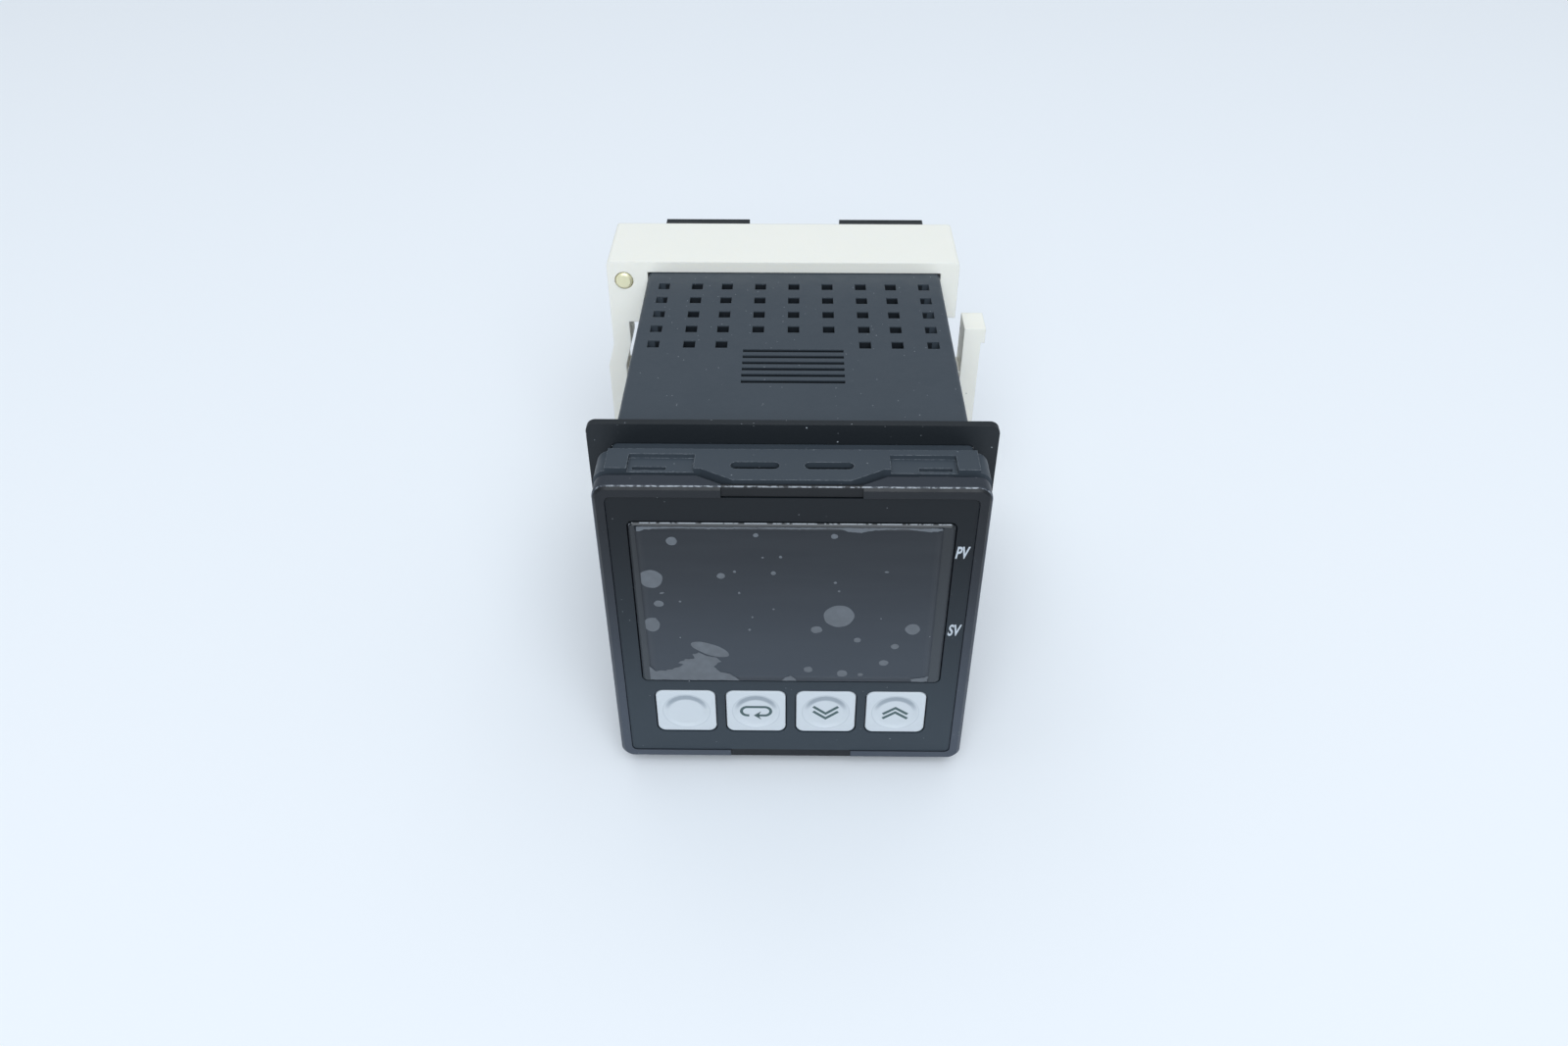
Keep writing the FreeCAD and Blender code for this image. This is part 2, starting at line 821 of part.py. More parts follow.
def terminal_block():
    """The base plate in the housing's rear, with a column of screw bays on each side."""
    body = new_body("terminal_block")
    half = case_inner / 2 - S.assembly_gap
    extrude(body, "front", S.case_length - S.base_thick, S.case_length, centred_square(2 * half))
    rear = S.case_length + S.column_depth
    column = extrude(body, "front", S.case_length, rear,
                     rectangle(S.column_inner, S.column_outer, -S.column_height / 2, S.column_height / 2))
    mirror(body, [column], "YZ")
    lowest = -(TERMINALS - 1) / 2 * S.terminal_pitch
    inner = S.column_inner + S.bay_wall
    shank = S.terminal_screw_length - S.contact_thick - S.washer_thick
    slot_gap = S.contact_gap
    for side in (1, -1):
        bay = cut(body, "side", side * inner if side > 0 else -S.column_outer - MARGIN,
                  S.column_outer + MARGIN if side > 0 else -inner,
                  rectangle(seat, rear + MARGIN, lowest - S.bay_height / 2, lowest + S.bay_height / 2))
        bore = cut(body, "front", seat - shank - S.terminal_screw_gap, seat,
                   rectangle(side * terminal_centre - terminal_bore / 2,
                             side * terminal_centre + terminal_bore / 2,
                             lowest - terminal_bore / 2, lowest + terminal_bore / 2))
        near = side * (contact_inner - slot_gap)
        away = side * (contact_inner + S.contact_thick + slot_gap)
        slot = cut(body, "front", S.case_length - S.base_thick, seat,
                   rectangle(near if side > 0 else away, away if side > 0 else near,
                             lowest - S.contact_width / 2 - slot_gap,
                             lowest + S.contact_width / 2 + slot_gap))
        repeat(body, [bay, bore, slot], "Z", S.terminal_pitch, TERMINALS)
    return body


def terminal_contacts():
    """Bent strips, forked around the terminal screws, that reach through the block to the boards."""
    body = new_body("terminal_contacts")
    lowest = -(TERMINALS - 1) / 2 * S.terminal_pitch
    bend = S.case_length - S.base_thick - S.contact_thick - S.contact_gap
    tip = S.board_rear - S.contact_reach
    touch = S.board_face - S.contact_gap
    plate_end = terminal_centre + S.washer_width / 2
    for side in (1, -1):
        strip = extrude(body, "top", lowest - S.contact_width / 2, lowest + S.contact_width / 2,
                        polygon((side * plate_end, seat + S.contact_thick),
                                (side * contact_inner, seat + S.contact_thick),
                                (side * contact_inner, bend),
                                (side * (touch - S.contact_thick), bend),
                                (side * (touch - S.contact_thick), tip),
                                (side * touch, tip),
                                (side * touch, bend + S.contact_thick),
                                (side * (contact_inner + S.contact_thick), bend + S.contact_thick),
                                (side * (contact_inner + S.contact_thick), seat),
                                (side * plate_end, seat)))
        plate = extrude(body, "front", seat, seat + S.contact_thick,
                        rectangle(side * terminal_centre - S.washer_width / 2,
                                  side * terminal_centre + S.washer_width / 2,
                                  lowest - S.washer_width / 2, lowest + S.washer_width / 2))
        near = side * terminal_centre - terminal_bore / 2
        away = side * terminal_centre + terminal_bore / 2
        fork = cut(body, "front", seat, seat + S.contact_thick,
                   rectangle(near if side > 0 else near - S.washer_width,
                             away + S.washer_width if side > 0 else away,
                             lowest - terminal_bore / 2, lowest + terminal_bore / 2))
        repeat(body, [strip, plate, fork], "Z", S.terminal_pitch, TERMINALS)
    return body


def terminal_washers():
    body = new_body("terminal_washers")
    lowest = -(TERMINALS - 1) / 2 * S.terminal_pitch
    start = seat + S.contact_thick
    first = extrude(body, "front", start, start + S.washer_thick,
                    rectangle(-terminal_centre - S.washer_width / 2, S.washer_width / 2 - terminal_centre,
                              lowest - S.washer_width / 2, lowest + S.washer_width / 2),
                    circle(terminal_bore, -terminal_centre, lowest))
    repeat_grid(body, [first], ("Z", S.terminal_pitch, TERMINALS), ("X", 2 * terminal_centre, 2))
    return body


def terminal_screws():
    body = new_body("terminal_screws")
    lowest = -(TERMINALS - 1) / 2 * S.terminal_pitch
    under_head = seat + S.contact_thick + S.washer_thick
    shank = extrude(body, "front", under_head - S.terminal_screw_length, under_head,
                    circle(S.terminal_screw_diameter, -terminal_centre, lowest))
    head_rear = under_head + S.terminal_head_height
    head = extrude(body, "front", under_head, head_rear,
                   circle(S.terminal_head_diameter, -terminal_centre, lowest))
    drive = cross_slot(body, head_rear, -terminal_centre, lowest)
    repeat_grid(body, [shank, head, drive], ("Z", S.terminal_pitch, TERMINALS), ("X", 2 * terminal_centre, 2))
    return body


def cross_slot(body, face, x, z):
    """A cross recess cut forwards from a screw head's rear face."""
    arm, half = S.drive_length / 2, S.drive_width / 2
    return cut(body, "front", face - S.drive_depth, face,
               polygon((x - arm, z - half), (x - half, z - half), (x - half, z - arm),
                       (x + half, z - arm), (x + half, z - half), (x + arm, z - half),
                       (x + arm, z + half), (x + half, z + half), (x + half, z + arm),
                       (x - half, z + arm), (x - half, z + half), (x - arm, z + half)))


# ---- mounting adapter -------------------------------------------------------------------------

def mounting_adapter():
    """Clamp frame with two opposed screw blocks and two ratchet levers, alike by half a turn."""
    body = new_body("mounting_adapter")
    corner_outer = adapter_inner + S.corner_wall
    corner_low = adapter_half - S.corner_height
    block_low = adapter_half - S.block_height
    lever_rear = S.adapter_front + S.lever_depth
    slot_rear = lever_rear + S.lever_slot
    corner = [(-arm_outer, adapter_half), (corner_outer, adapter_half), (corner_outer, corner_low)]
    ring = corner + [(adapter_half, corner_low), (adapter_half, -block_low), (arm_outer, -block_low)]
    extrude(body, "front", slot_rear, adapter_rear,
            polygon(*ring, *[(-x, -z) for x, z in ring]), centred_square(2 * adapter_inner))
    bar = extrude(body, "front", S.adapter_front, slot_rear,
                  polygon(*corner, (adapter_inner, corner_low), (adapter_inner, adapter_inner),
                          (-adapter_inner, adapter_inner), (-adapter_inner, block_low),
                          (-arm_outer, block_low)))
    half_turn(body, [bar])
    lever_inner = arm_inner + S.lever_stand
    lever_outer = arm_outer + S.lever_stand
    bend_low = S.lever_root - block_low
    bend_high = bend_low + S.lever_bend
    knob_high = corner_low - S.lever_clear
    knob_low = knob_high - S.knob_height
    lever = extrude(body, "front", S.adapter_front, lever_rear,
                    polygon((arm_inner, -block_low - MARGIN), (arm_outer, -block_low - MARGIN),
                            (arm_outer, bend_low), (lever_outer, bend_high), (lever_outer, knob_low),
                            (lever_outer + S.knob_reach, knob_low), (lever_outer + S.knob_reach, knob_high),
                            (lever_inner, knob_high), (lever_inner, bend_high), (arm_inner, bend_low)))
    tooth_root = case_half + S.pawl_gap + S.rack_depth
    pawl_front = S.adapter_front + (S.lever_depth - S.pawl_depth) / 2
    pawl = extrude(body, "top", -S.pawl_height / 2, S.pawl_height / 2,
                   rectangle(tooth_root - S.pawl_gap, lever_inner + S.arm_thick / 2,
                             pawl_front, pawl_front + S.pawl_depth))
    half_turn(body, [lever, pawl])
    tooth_depth = S.pawl_depth / PAWL_TEETH
    for side in (1, -1):
        tooth = extrude(body, "top", -S.pawl_height / 2, S.pawl_height / 2,
                        polygon((side * tooth_root, pawl_front),
                                (side * tooth_root, pawl_front + tooth_depth),
                                (side * (case_half + S.pawl_gap), pawl_front + tooth_depth)))
        repeat(body, [tooth], "Y", tooth_depth, PAWL_TEETH)
    bore = cut(body, "front", S.adapter_front, adapter_rear,
               circle(S.clamp_diameter + 2 * S.clamp_gap, -clamp_x, clamp_z))
    half_turn(body, [bore])
    refine(body)
    corners = edges_along(body.Tip.Shape, "y",
                          lambda p: abs(abs(p.z) - adapter_half.value) < 1e-3)
    dress(body, "Fillet", corners, S.adapter_corner)
    return body


def clamp_screw(name, side):
    body = new_body(f"clamp_screw_{name}", x=side * clamp_x, z=-side * clamp_z)
    tip = S.adapter_front - S.clamp_proud
    under_head = adapter_rear + S.clamp_stand
    head_rear = under_head + S.clamp_head_height
    radius = S.clamp_diameter / 2
    bevel = S.clamp_gap * 2
    turn(body, "Y", (0, tip), (radius - bevel, tip), (radius, tip + bevel), (radius, under_head),
         (S.clamp_head_diameter / 2, under_head), (S.clamp_head_diameter / 2, head_rear - bevel),
         (S.clamp_head_diameter / 2 - bevel, head_rear), (0, head_rear))
    cross_slot(body, head_rear, as_size(0), as_size(0))
    return body


# ---- displays and boards ----------------------------------------------------------------------

def display_module(label, height, centre):
    """A four-digit module: a block with seven sunk segments for each digit."""
    body = new_body(label)
    face = cover_rear + S.display_clear
    extrude(body, "front", face, display_board_front,
            rectangle(-S.display_width / 2, S.display_width / 2, centre - height / 2, centre + height / 2))
    tall = height * 0.72
    wide = tall * 0.5
    bar = S.segment_width
    first = -(DIGITS - 1) / 2 * S.digit_pitch
    left, right = first - wide / 2, first + wide / 2
    low, high = centre - tall / 2, centre + tall / 2
    gap = bar / 4
    across = [rectangle(left + bar + gap, right - bar - gap, z, z + bar)
              for z in (low, centre - bar / 2, high - bar)]
    upright = [rectangle(x, x + bar, z + gap, z + tall / 2 - bar / 2 - gap)
               for x in (left, right - bar) for z in (low + bar / 2, centre)]
    digit = cut(body, "front", face, face + S.segment_depth, *across, *upright)
    repeat(body, [digit], "X", S.digit_pitch, DIGITS)
    return body


def indicator_lamps():
    body = new_body("indicator_lamps")
    first = -(LAMPS - 1) / 2 * S.lamp_pitch
    lamp = extrude(body, "front", cover_rear + S.display_clear, display_board_front,
                   rectangle(first - S.lamp_width / 2, first + S.lamp_width / 2,
                             S.lamp_centre - S.lamp_height / 2, S.lamp_centre + S.lamp_height / 2))
    repeat(body, [lamp], "X", S.lamp_pitch, LAMPS)
    return body


def display_board():
    body = new_body("display_board")
    extrude(body, "front", display_board_front, display_board_rear, centred_square(S.display_board_width))
    return body


def side_board(label, side):
    body = new_body(label)
    near, far = S.board_face, S.board_face + S.board_thick
    start, end = (near, far) if side > 0 else (-far, -near)
    extrude(body, "side", start, end,
            rectangle(display_board_rear, S.board_rear, -S.board_height / 2, S.board_height / 2))
    return body


def board_connectors():
    body = new_body("board_connectors")
    strip = extrude(body, "front", display_board_rear, display_board_rear + S.strip_size,
                    rectangle(S.board_face - S.strip_size, S.board_face,
                              -S.strip_length / 2, S.strip_length / 2))
    mirror(body, [strip], "YZ")
    return body


# ---- parts on the side boards -----------------------------------------------------------------

def relay(label, centre):
    body = new_body(label, z=centre)
    extrude(body, "side", S.board_face - S.relay_height, S.board_face,
            rounded_rectangle(S.relay_front, S.relay_front + S.relay_length,
                              -S.relay_width / 2, S.relay_width / 2, S.relay_corner))
    return body


def switching_transformer():
    """Bobbin base, ferrite frame and round winding, standing on the power board."""
    face = -S.board_face
    body = new_body("switching_transformer", x=face, y=S.transformer_front)
    half = S.transformer_width / 2
    middle = S.transformer_length / 2
    extrude(body, "side", as_size(0), S.transformer_base,
            rounded_rectangle(as_size(0), S.transformer_length, -half, half, S.relay_corner))
    core = S.transformer_core
    extrude(body, "front", middle - core / 2, middle + core / 2,
            rectangle(S.transformer_base, S.transformer_height, -half, half))
    extrude(body, "side", S.transformer_base, S.transformer_height - core / 2,
            circle(S.transformer_width - core, middle, 0))
    return body


def can(body, diameter, height):
    """An aluminium can in its sleeve, standing along X."""
    radius = diameter / 2
    bevel = S.can_bevel
    turn(body, "X", (0, 0), (0, radius), (height - bevel, radius), (height, radius - bevel), (height, 0))


def filter_capacitor():
    body = new_body("filter_capacitor", x=-S.board_face, y=S.filter_front, z=S.filter_centre)
    can(body, S.filter_diameter, S.filter_height)
    return body


def smoothing_capacitors():
    body = new_body("smoothing_capacitors", x=-S.board_face, y=S.filter_front,
                    z=S.smoothing_centre - S.smoothing_pitch)
    can(body, S.smoothing_diameter, S.smoothing_height)
    repeat(body, [body.Tip], "Z", S.smoothing_pitch, 2)
    return body


def rectifier_bridge():
    body = new_body("rectifier_bridge", x=-S.board_face, y=S.bridge_front, z=S.bridge_centre)
    extrude(body, "side", as_size(0), S.bridge_height,
            rounded_rectangle(as_size(0), S.bridge_length, -S.bridge_width / 2, S.bridge_width / 2,
                              S.relay_corner))
    return body


def processor_chip():
    """A flat square package on the main board with leads along all four sides."""
    half = S.processor_width / 2
    body = new_body("processor_chip", x=S.board_face, y=S.processor_front + half)
    extrude(body, "side", -S.processor_height, -S.lead_thick / 2, centred_square(S.processor_width))
    leads = [(step - (PROCESSOR_LEADS - 1) / 2) * S.lead_pitch for step in range(PROCESSOR_LEADS)]
    reach = half + S.lead_reach
    for outlines in ([rectangle(y - S.lead_width / 2, y + S.lead_width / 2, -reach, reach) for y in leads],
                     [rectangle(-reach, reach, z - S.lead_width / 2, z + S.lead_width / 2) for z in leads]):
        extrude(body, "side", -S.lead_thick, as_size(0), *outlines)
    return body


def memory_chip():
    body = new_body("memory_chip", x=S.board_face, y=S.memory_front + S.memory_length / 2, z=S.memory_centre)
    extrude(body, "side", -S.memory_height, -S.lead_thick / 2,
            rectangle(-S.memory_length / 2, S.memory_length / 2, -S.memory_width / 2, S.memory_width / 2))
    first = -(MEMORY_LEADS - 1) / 2 * S.lead_pitch
    lead = extrude(body, "side", -S.lead_thick, as_size(0),
                   rectangle(first - S.lead_width / 2, first + S.lead_width / 2,
                             -S.memory_width / 2 - S.lead_reach, S.memory_width / 2 + S.lead_reach))
    repeat(body, [lead], "Y", S.lead_pitch, MEMORY_LEADS)
    return body


# ---- build, test and write --------------------------------------------------------------------

pieces = [
    front_cover(), key_sheet(), display_window(), protective_film(), key_switches(),
    housing(), gasket(), terminal_block(), terminal_contacts(), terminal_washers(), terminal_screws(),
    mounting_adapter(), clamp_screw("left", -1), clamp_screw("right", 1),
    display_module("process_display", S.process_height, S.process_centre),
    display_module("setpoint_display", S.setpoint_height, S.setpoint_centre),
    indicator_lamps(), display_board(), side_board("main_board", 1), side_board("power_board", -1),
    board_connectors(), relay("output_relay", S.relay_centre), relay("alarm_relay", -S.relay_centre),
    switching_transformer(), filter_capacitor(), smoothing_capacitors(), rectifier_bridge(),
    processor_chip(), memory_chip(),
]
for key_name, key_step in KEYS.items():
    pieces.append(key(key_name, key_step))
    pieces.append(switch_stem(key_name, key_step))
for piece in pieces:
    piece.Tip.Refine = True
doc.recompute()

for item in doc.Objects:
    if "Invalid" in item.State or "Error" in item.State:
        raise RuntimeError(f"{item.Label} did not compute: {item.State}")
for piece in pieces:
    if piece.Shape.isNull() or not piece.Shape.isValid():
        raise RuntimeError(f"{piece.Label} has no sound shape")

os.makedirs("parts", exist_ok=True)
for piece in pieces:
    piece.Shape.exportStep(f"parts/{piece.Label}.step")
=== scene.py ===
"""Finishes, film, key marks, screw threads and a studio for a panel temperature controller."""

import math

import bmesh
import bpy
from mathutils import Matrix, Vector, geometry, noise


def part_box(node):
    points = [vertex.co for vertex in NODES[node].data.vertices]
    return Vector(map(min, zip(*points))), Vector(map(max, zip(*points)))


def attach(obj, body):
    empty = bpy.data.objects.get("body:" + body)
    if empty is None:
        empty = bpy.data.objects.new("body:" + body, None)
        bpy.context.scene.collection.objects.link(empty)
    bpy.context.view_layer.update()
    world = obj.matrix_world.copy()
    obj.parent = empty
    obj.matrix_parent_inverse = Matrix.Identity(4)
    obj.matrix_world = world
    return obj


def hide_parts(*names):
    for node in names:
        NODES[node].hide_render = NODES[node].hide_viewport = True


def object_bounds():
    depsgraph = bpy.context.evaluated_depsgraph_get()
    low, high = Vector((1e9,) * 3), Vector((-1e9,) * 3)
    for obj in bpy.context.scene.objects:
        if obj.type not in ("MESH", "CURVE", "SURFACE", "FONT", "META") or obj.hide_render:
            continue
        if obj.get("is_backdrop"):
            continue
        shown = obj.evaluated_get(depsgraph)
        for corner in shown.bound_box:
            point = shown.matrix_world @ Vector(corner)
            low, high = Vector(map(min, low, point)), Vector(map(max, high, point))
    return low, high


bl_info = {
    "name": "Panel temperature controller",
    "version": (1, 0, 0),
    "blender": (4, 5, 0),
    "location": "3D View > Sidebar > Controller",
    "description": "Dresses the solids of a panel temperature controller and lights them in a small studio",
    "category": "Object",
}

MM = 0.001
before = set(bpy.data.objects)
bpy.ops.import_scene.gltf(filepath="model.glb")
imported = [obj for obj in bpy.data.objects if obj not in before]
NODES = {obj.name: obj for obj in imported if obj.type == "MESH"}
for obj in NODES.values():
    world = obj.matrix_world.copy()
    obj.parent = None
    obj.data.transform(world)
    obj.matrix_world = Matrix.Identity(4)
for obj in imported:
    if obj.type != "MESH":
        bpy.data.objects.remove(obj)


# ---- settings -----------------------------------------------------------------------------------

def tint(code):
    """A colour written as six hexadecimal digits, as the linear values that materials use."""
    def linear(pair):
        value = int(pair, 16) / 255
        return value / 12.92 if value <= 0.04045 else ((value + 0.055) / 1.055) ** 2.4
    return tuple(linear(code[start:start + 2]) for start in (1, 3, 5))


def colour(name, description, code):
    return bpy.props.FloatVectorProperty(name=name, description=description, subtype="COLOR",
                                         size=3, min=0.0, max=1.0, default=tint(code))


def length(name, description, millimetres):
    return bpy.props.FloatProperty(name=name, description=description, subtype="DISTANCE",
                                   unit="LENGTH", precision=5, default=millimetres * MM)


def share(name, description, value):
    return bpy.props.FloatProperty(name=name, description=description, subtype="FACTOR",
                                   min=0.0, max=1.0, default=value)


def amount(name, description, value, subtype="NONE", unit="NONE"):
    return bpy.props.FloatProperty(name=name, description=description, subtype=subtype, unit=unit,
                                   min=0.0, default=value)


def turn(name, description, degrees):
    return bpy.props.FloatProperty(name=name, description=description, subtype="ANGLE",
                                   unit="ROTATION", default=math.radians(degrees))


class CaseSettings(bpy.types.PropertyGroup):
    moulding: colour("Case", "Colour of the case's dark plastic", "#3A424A")
    bezel: colour("Bezel", "Colour of the bezel's dark plastic", "#3F4651")
    front_print: colour("Front sheet", "Colour of the printed sheet on the front", "#343D45")
    # Painted shade: the gaps, the tongue's slots, the vents' walls and the bezel's upper faces are darkened
    # towards this colour, and the bezel's face, the window and the front sheet blend to it towards their
    # top.
    shade: colour("Front shade", "Colour in the gaps, and towards the upper edge of the front", "#070B10")
    rubber: colour("Gasket", "Colour of the gasket's rubber", "#141B21")
    dust: colour("Dust", "Colour of the fine dust in the edges", "#C6CCD4")
    grain: length("Grain", "Width of the grains on the moulded surfaces", 0.25)
    edge: length("Edge", "Radius of the soft edges on mouldings", 0.12)
    dustiness: share("Dustiness", "Share of the dust spots that are kept", 0.2)


class WindowSettings(bpy.types.PropertyGroup):
    pane: colour("Window", "Colour of the smoked window", "#33393F")
    film: colour("Film", "Colour of the shipping film over the window, at its lower edge", "#343B44")
    # Painted shade: the film blends to this colour towards its upper edge.
    film_shade: colour("Film shade", "Colour of the film over the window, at its upper edge", "#141920")
    bubble: colour("Bubbles", "Colour where the film stands off the window", "#585D63")
    bubble_edge: colour("Bubble clouds", "Colour of the paler clouds in the bubbles", "#6F757D")
    bubble_rise: length("Bubble rise", "Height of the bubbles under the film", 0.04)


class KeySettings(bpy.types.PropertyGroup):
    plastic: colour("Keys", "Colour of the white keys", "#C8CED3")
    mark: colour("Key marks", "Colour of the signs on the keys", "#3E5355")
    letters: colour("Letters", "Colour of the letters beside the window", "#B7BEC6")
    dish_radius: length("Dish radius", "Outer radius of the round dish in each key", 3.25)
    dish_floor: length("Dish floor", "Radius of the dish's flat floor", 2.25)
    dish_drop: length("Dish drop", "How far the dish's floor lies below the key's middle", 0.4)
    dish_depth: length("Dish depth", "Depth of the round dish in each key", 0.25)
    key_corner: length("Key corner", "Radius of the keys' corners", 1.1)
    key_bevel: length("Key bevel", "Width of the bevel round the keys", 0.22)
    stem: length("Stem", "Width of the square stem behind each key", 2.6)
    line: length("Line", "Width of the lines of the signs", 0.42)


class AdapterSettings(bpy.types.PropertyGroup):
    plastic: colour("Adapter", "Colour of the cream mounting adapter", "#F8F5EB")
    plating: colour("Plating", "Colour of the yellow plating on the clamp screws", "#F6F1CC")
    zinc: colour("Zinc", "Colour of the plating on the terminal screws", "#C4C6C8")
    tin: colour("Tin", "Colour of the contact strips", "#CFC9BC")
    thread_pitch: length("Thread pitch", "Distance between the turns of the clamp screws' thread", 0.5)
    thread_depth: length("Thread depth", "Height of the thread above the shank", 0.11)


class BoardSettings(bpy.types.PropertyGroup):
    mask: colour("Solder mask", "Colour of the circuit boards", "#1C5B3C")
    solder: colour("Solder", "Colour of the solder joints", "#B9BCC0")
    relay: colour("Relay case", "Colour of the relays", "#2A3F78")
    sleeve: colour("Sleeve", "Colour of the capacitors' sleeves", "#20243A")
    can: colour("Can", "Colour of the capacitors' bare aluminium ends", "#B8BABC")
    ferrite: colour("Ferrite", "Colour of the transformer's core", "#2B2B2C")
    tape: colour("Tape", "Colour of the tape on the transformer's winding", "#C7A437")
    package: colour("Package", "Colour of the chips and the rectifier", "#202123")
    segment: colour("Segment", "Colour of an unlit display segment", "#B7BBB2")
    lamp: colour("Lamp", "Colour of the unlit lamps", "#A2493A")


class StudioSettings(bpy.types.PropertyGroup):
    floor: colour("Floor", "Colour of the pale floor", "#F1F3F6")
    sky: colour("Surroundings", "Colour of the light that comes from all round", "#EEF4FA")
    lamp: colour("Lamps", "Colour of the two soft lights", "#F0F8FF")
    ambient: amount("Ambient light", "Strength of the light from all round", 0.38)
    backdrop: amount("Backdrop", "Brightness of what shows beyond the floor", 0.86)
    overhead: amount("Overhead light", "Power of the soft light above", 5.5, "POWER", "POWER")
    fill: amount("Front light", "Power of the soft light from the front", 33.0, "POWER", "POWER")
    lens: amount("Lens", "Focal length of the camera", 27.63, "DISTANCE_CAMERA", "CAMERA")
    eye: bpy.props.FloatVectorProperty(name="Eye", subtype="TRANSLATION", unit="LENGTH", size=3,
                                       description="Camera's place from the middle of the front",
                                       default=(0.00027, -0.1130, 0.1078))
    pitch: turn("Pitch", "How far the camera looks down", 38.3)
    yaw: turn("Yaw", "How far the camera is turned to the left", 0.61)


SETTINGS = {
    "controller_case": CaseSettings,
    "controller_window": WindowSettings,
    "controller_keys": KeySettings,
    "controller_adapter": AdapterSettings,
    "controller_boards": BoardSettings,
    "controller_studio": StudioSettings,
}


# ---- materials ----------------------------------------------------------------------------------

class Finish:
    """A material in the making: one shader, and the detail that is wired into it."""

    def __init__(self, name, base, roughness, metallic=0.0):
        self.material = bpy.data.materials.new(name)
        self.material.use_nodes = True
        self.tree = self.material.node_tree
        self.shader = self.tree.nodes["Principled BSDF"]
        self.shader.inputs["Base Color"].default_value = (*base, 1.0)
        self.shader.inputs["Roughness"].default_value = roughness
        self.shader.inputs["Metallic"].default_value = metallic
        self.material.diffuse_color = (*base, 1.0)
        self.place = self.node("ShaderNodeTexCoord").outputs["Object"]
        self.normal = None

    def node(self, kind, settings=None, **inputs):
        made = self.tree.nodes.new(kind)
        for name, value in (settings or {}).items():
            setattr(made, name, value)
        for name, value in inputs.items():
            self.feed(made.inputs[name.replace("_", " ")], value)
        return made

    def feed(self, socket, value):
        if isinstance(value, bpy.types.NodeSocket):
            self.tree.links.new(value, socket)
        else:
            socket.default_value = value

    def sums(self, operation, first, second=0.0):
        made = self.tree.nodes.new("ShaderNodeMath")
        made.operation = operation
        self.feed(made.inputs[0], first)
        self.feed(made.inputs[1], second)
        return made.outputs[0]

    def product(self, first, *others):
        for other in others:
            first = self.sums("MULTIPLY", first, other)
        return first

    def between(self, value, low, high):
        """1 where the value lies between these two."""
        return self.product(self.sums("GREATER_THAN", value, low), self.sums("LESS_THAN", value, high))

    def within(self, axis, reach):
        """1 where the place lies less than this far from the middle, along an axis."""
        return self.sums("LESS_THAN", self.sums("ABSOLUTE", self.depth_along(axis)), reach)

    def ramp(self, factor, low, high):
        """0 below the low value, 1 above the high one, with a smooth rise between them."""
        made = self.node("ShaderNodeMapRange", {"interpolation_type": "SMOOTHSTEP"}, Value=factor)
        made.inputs["From Min"].default_value = low
        made.inputs["From Max"].default_value = high
        return made.outputs["Result"]

    def clouds(self, width, detail=2.0, stretch=(1.0, 1.0, 1.0)):
        """Noise whose lumps are about this wide."""
        place = self.place
        if stretch != (1.0, 1.0, 1.0):
            mapped = self.node("ShaderNodeMapping", Vector=place)
            mapped.inputs["Scale"].default_value = stretch
            place = mapped.outputs["Vector"]
        noisy = self.node("ShaderNodeTexNoise", Vector=place, Scale=1.0 / width, Detail=detail)
        return noisy.outputs["Fac"]

    def lay_over(self, name, kind, factor, value):
        """Blends one of the shader's inputs to another value by this factor."""
        mixed = self.node("ShaderNodeMix", {"data_type": kind}, Factor=factor)
        socket = self.shader.inputs[name]
        under = socket.links[0].from_socket if socket.is_linked else socket.default_value
        self.feed(mixed.inputs["A"], under)
        self.feed(mixed.inputs["B"], value)
        self.feed(socket, mixed.outputs["Result"])

    def mix_colour(self, other, *factors):
        """Lays another colour over the base by the product of these factors."""
        self.lay_over("Base Color", "RGBA", self.product(*factors), (*other, 1.0))

    def mix_roughness(self, factor, value):
        self.lay_over("Roughness", "FLOAT", factor, value)

    def translucent(self, weight, reach):
        """Lets light a little way in, and says how far each colour reaches."""
        self.shader.inputs["Subsurface Weight"].default_value = weight
        self.shader.inputs["Subsurface Radius"].default_value = reach
        self.shader.inputs["Subsurface Scale"].default_value = 1.0

    def soften(self, radius):
        """Shades the solid's edges as if they were rounded."""
        made = self.node("ShaderNodeBevel", {"samples": 4}, Radius=radius)
        self.normal = made.outputs["Normal"]
        self.feed(self.shader.inputs["Normal"], self.normal)

    def relief(self, height, depth, strength=1.0):
        made = self.node("ShaderNodeBump", Height=height, Distance=depth, Strength=strength)
        if self.normal is not None:
            self.feed(made.inputs["Normal"], self.normal)
        self.normal = made.outputs["Normal"]
        self.feed(self.shader.inputs["Normal"], self.normal)

    def facing(self, axis):
        """How far the surface faces along an axis."""
        normal = self.node("ShaderNodeNewGeometry").outputs["Normal"]
        return self.node("ShaderNodeSeparateXYZ", Vector=normal).outputs[axis]

    def upward(self):
        """1 on surfaces that face up, 0 on upright ones and below."""
        return self.ramp(self.facing("Z"), 0.1, 0.8)

    def downward(self):
        """1 on slopes that face a little down, 0 on upright surfaces and those that face up."""
        return self.ramp(self.product(self.facing("Z"), -1.0), 0.02, 0.2)

    def upper_edges(self):
        """1 along sharp edges that face up, from how far the softened normal leans off the face."""
        face = self.node("ShaderNodeNewGeometry").outputs["Normal"]
        lean = self.node("ShaderNodeVectorMath", {"operation": "DISTANCE"})
        self.feed(lean.inputs[0], self.normal)
        self.feed(lean.inputs[1], face)
        return self.product(self.ramp(lean.outputs["Value"], 0.12, 0.4), self.upward())

    def paint_shade_up(self, name, other, strength=1.0):
        """Painted shade: blends to another colour towards the top of the front."""
        low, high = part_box(name)
        self.mix_colour(other, self.ramp(self.depth_along("Z"), low.z, high.z), strength)

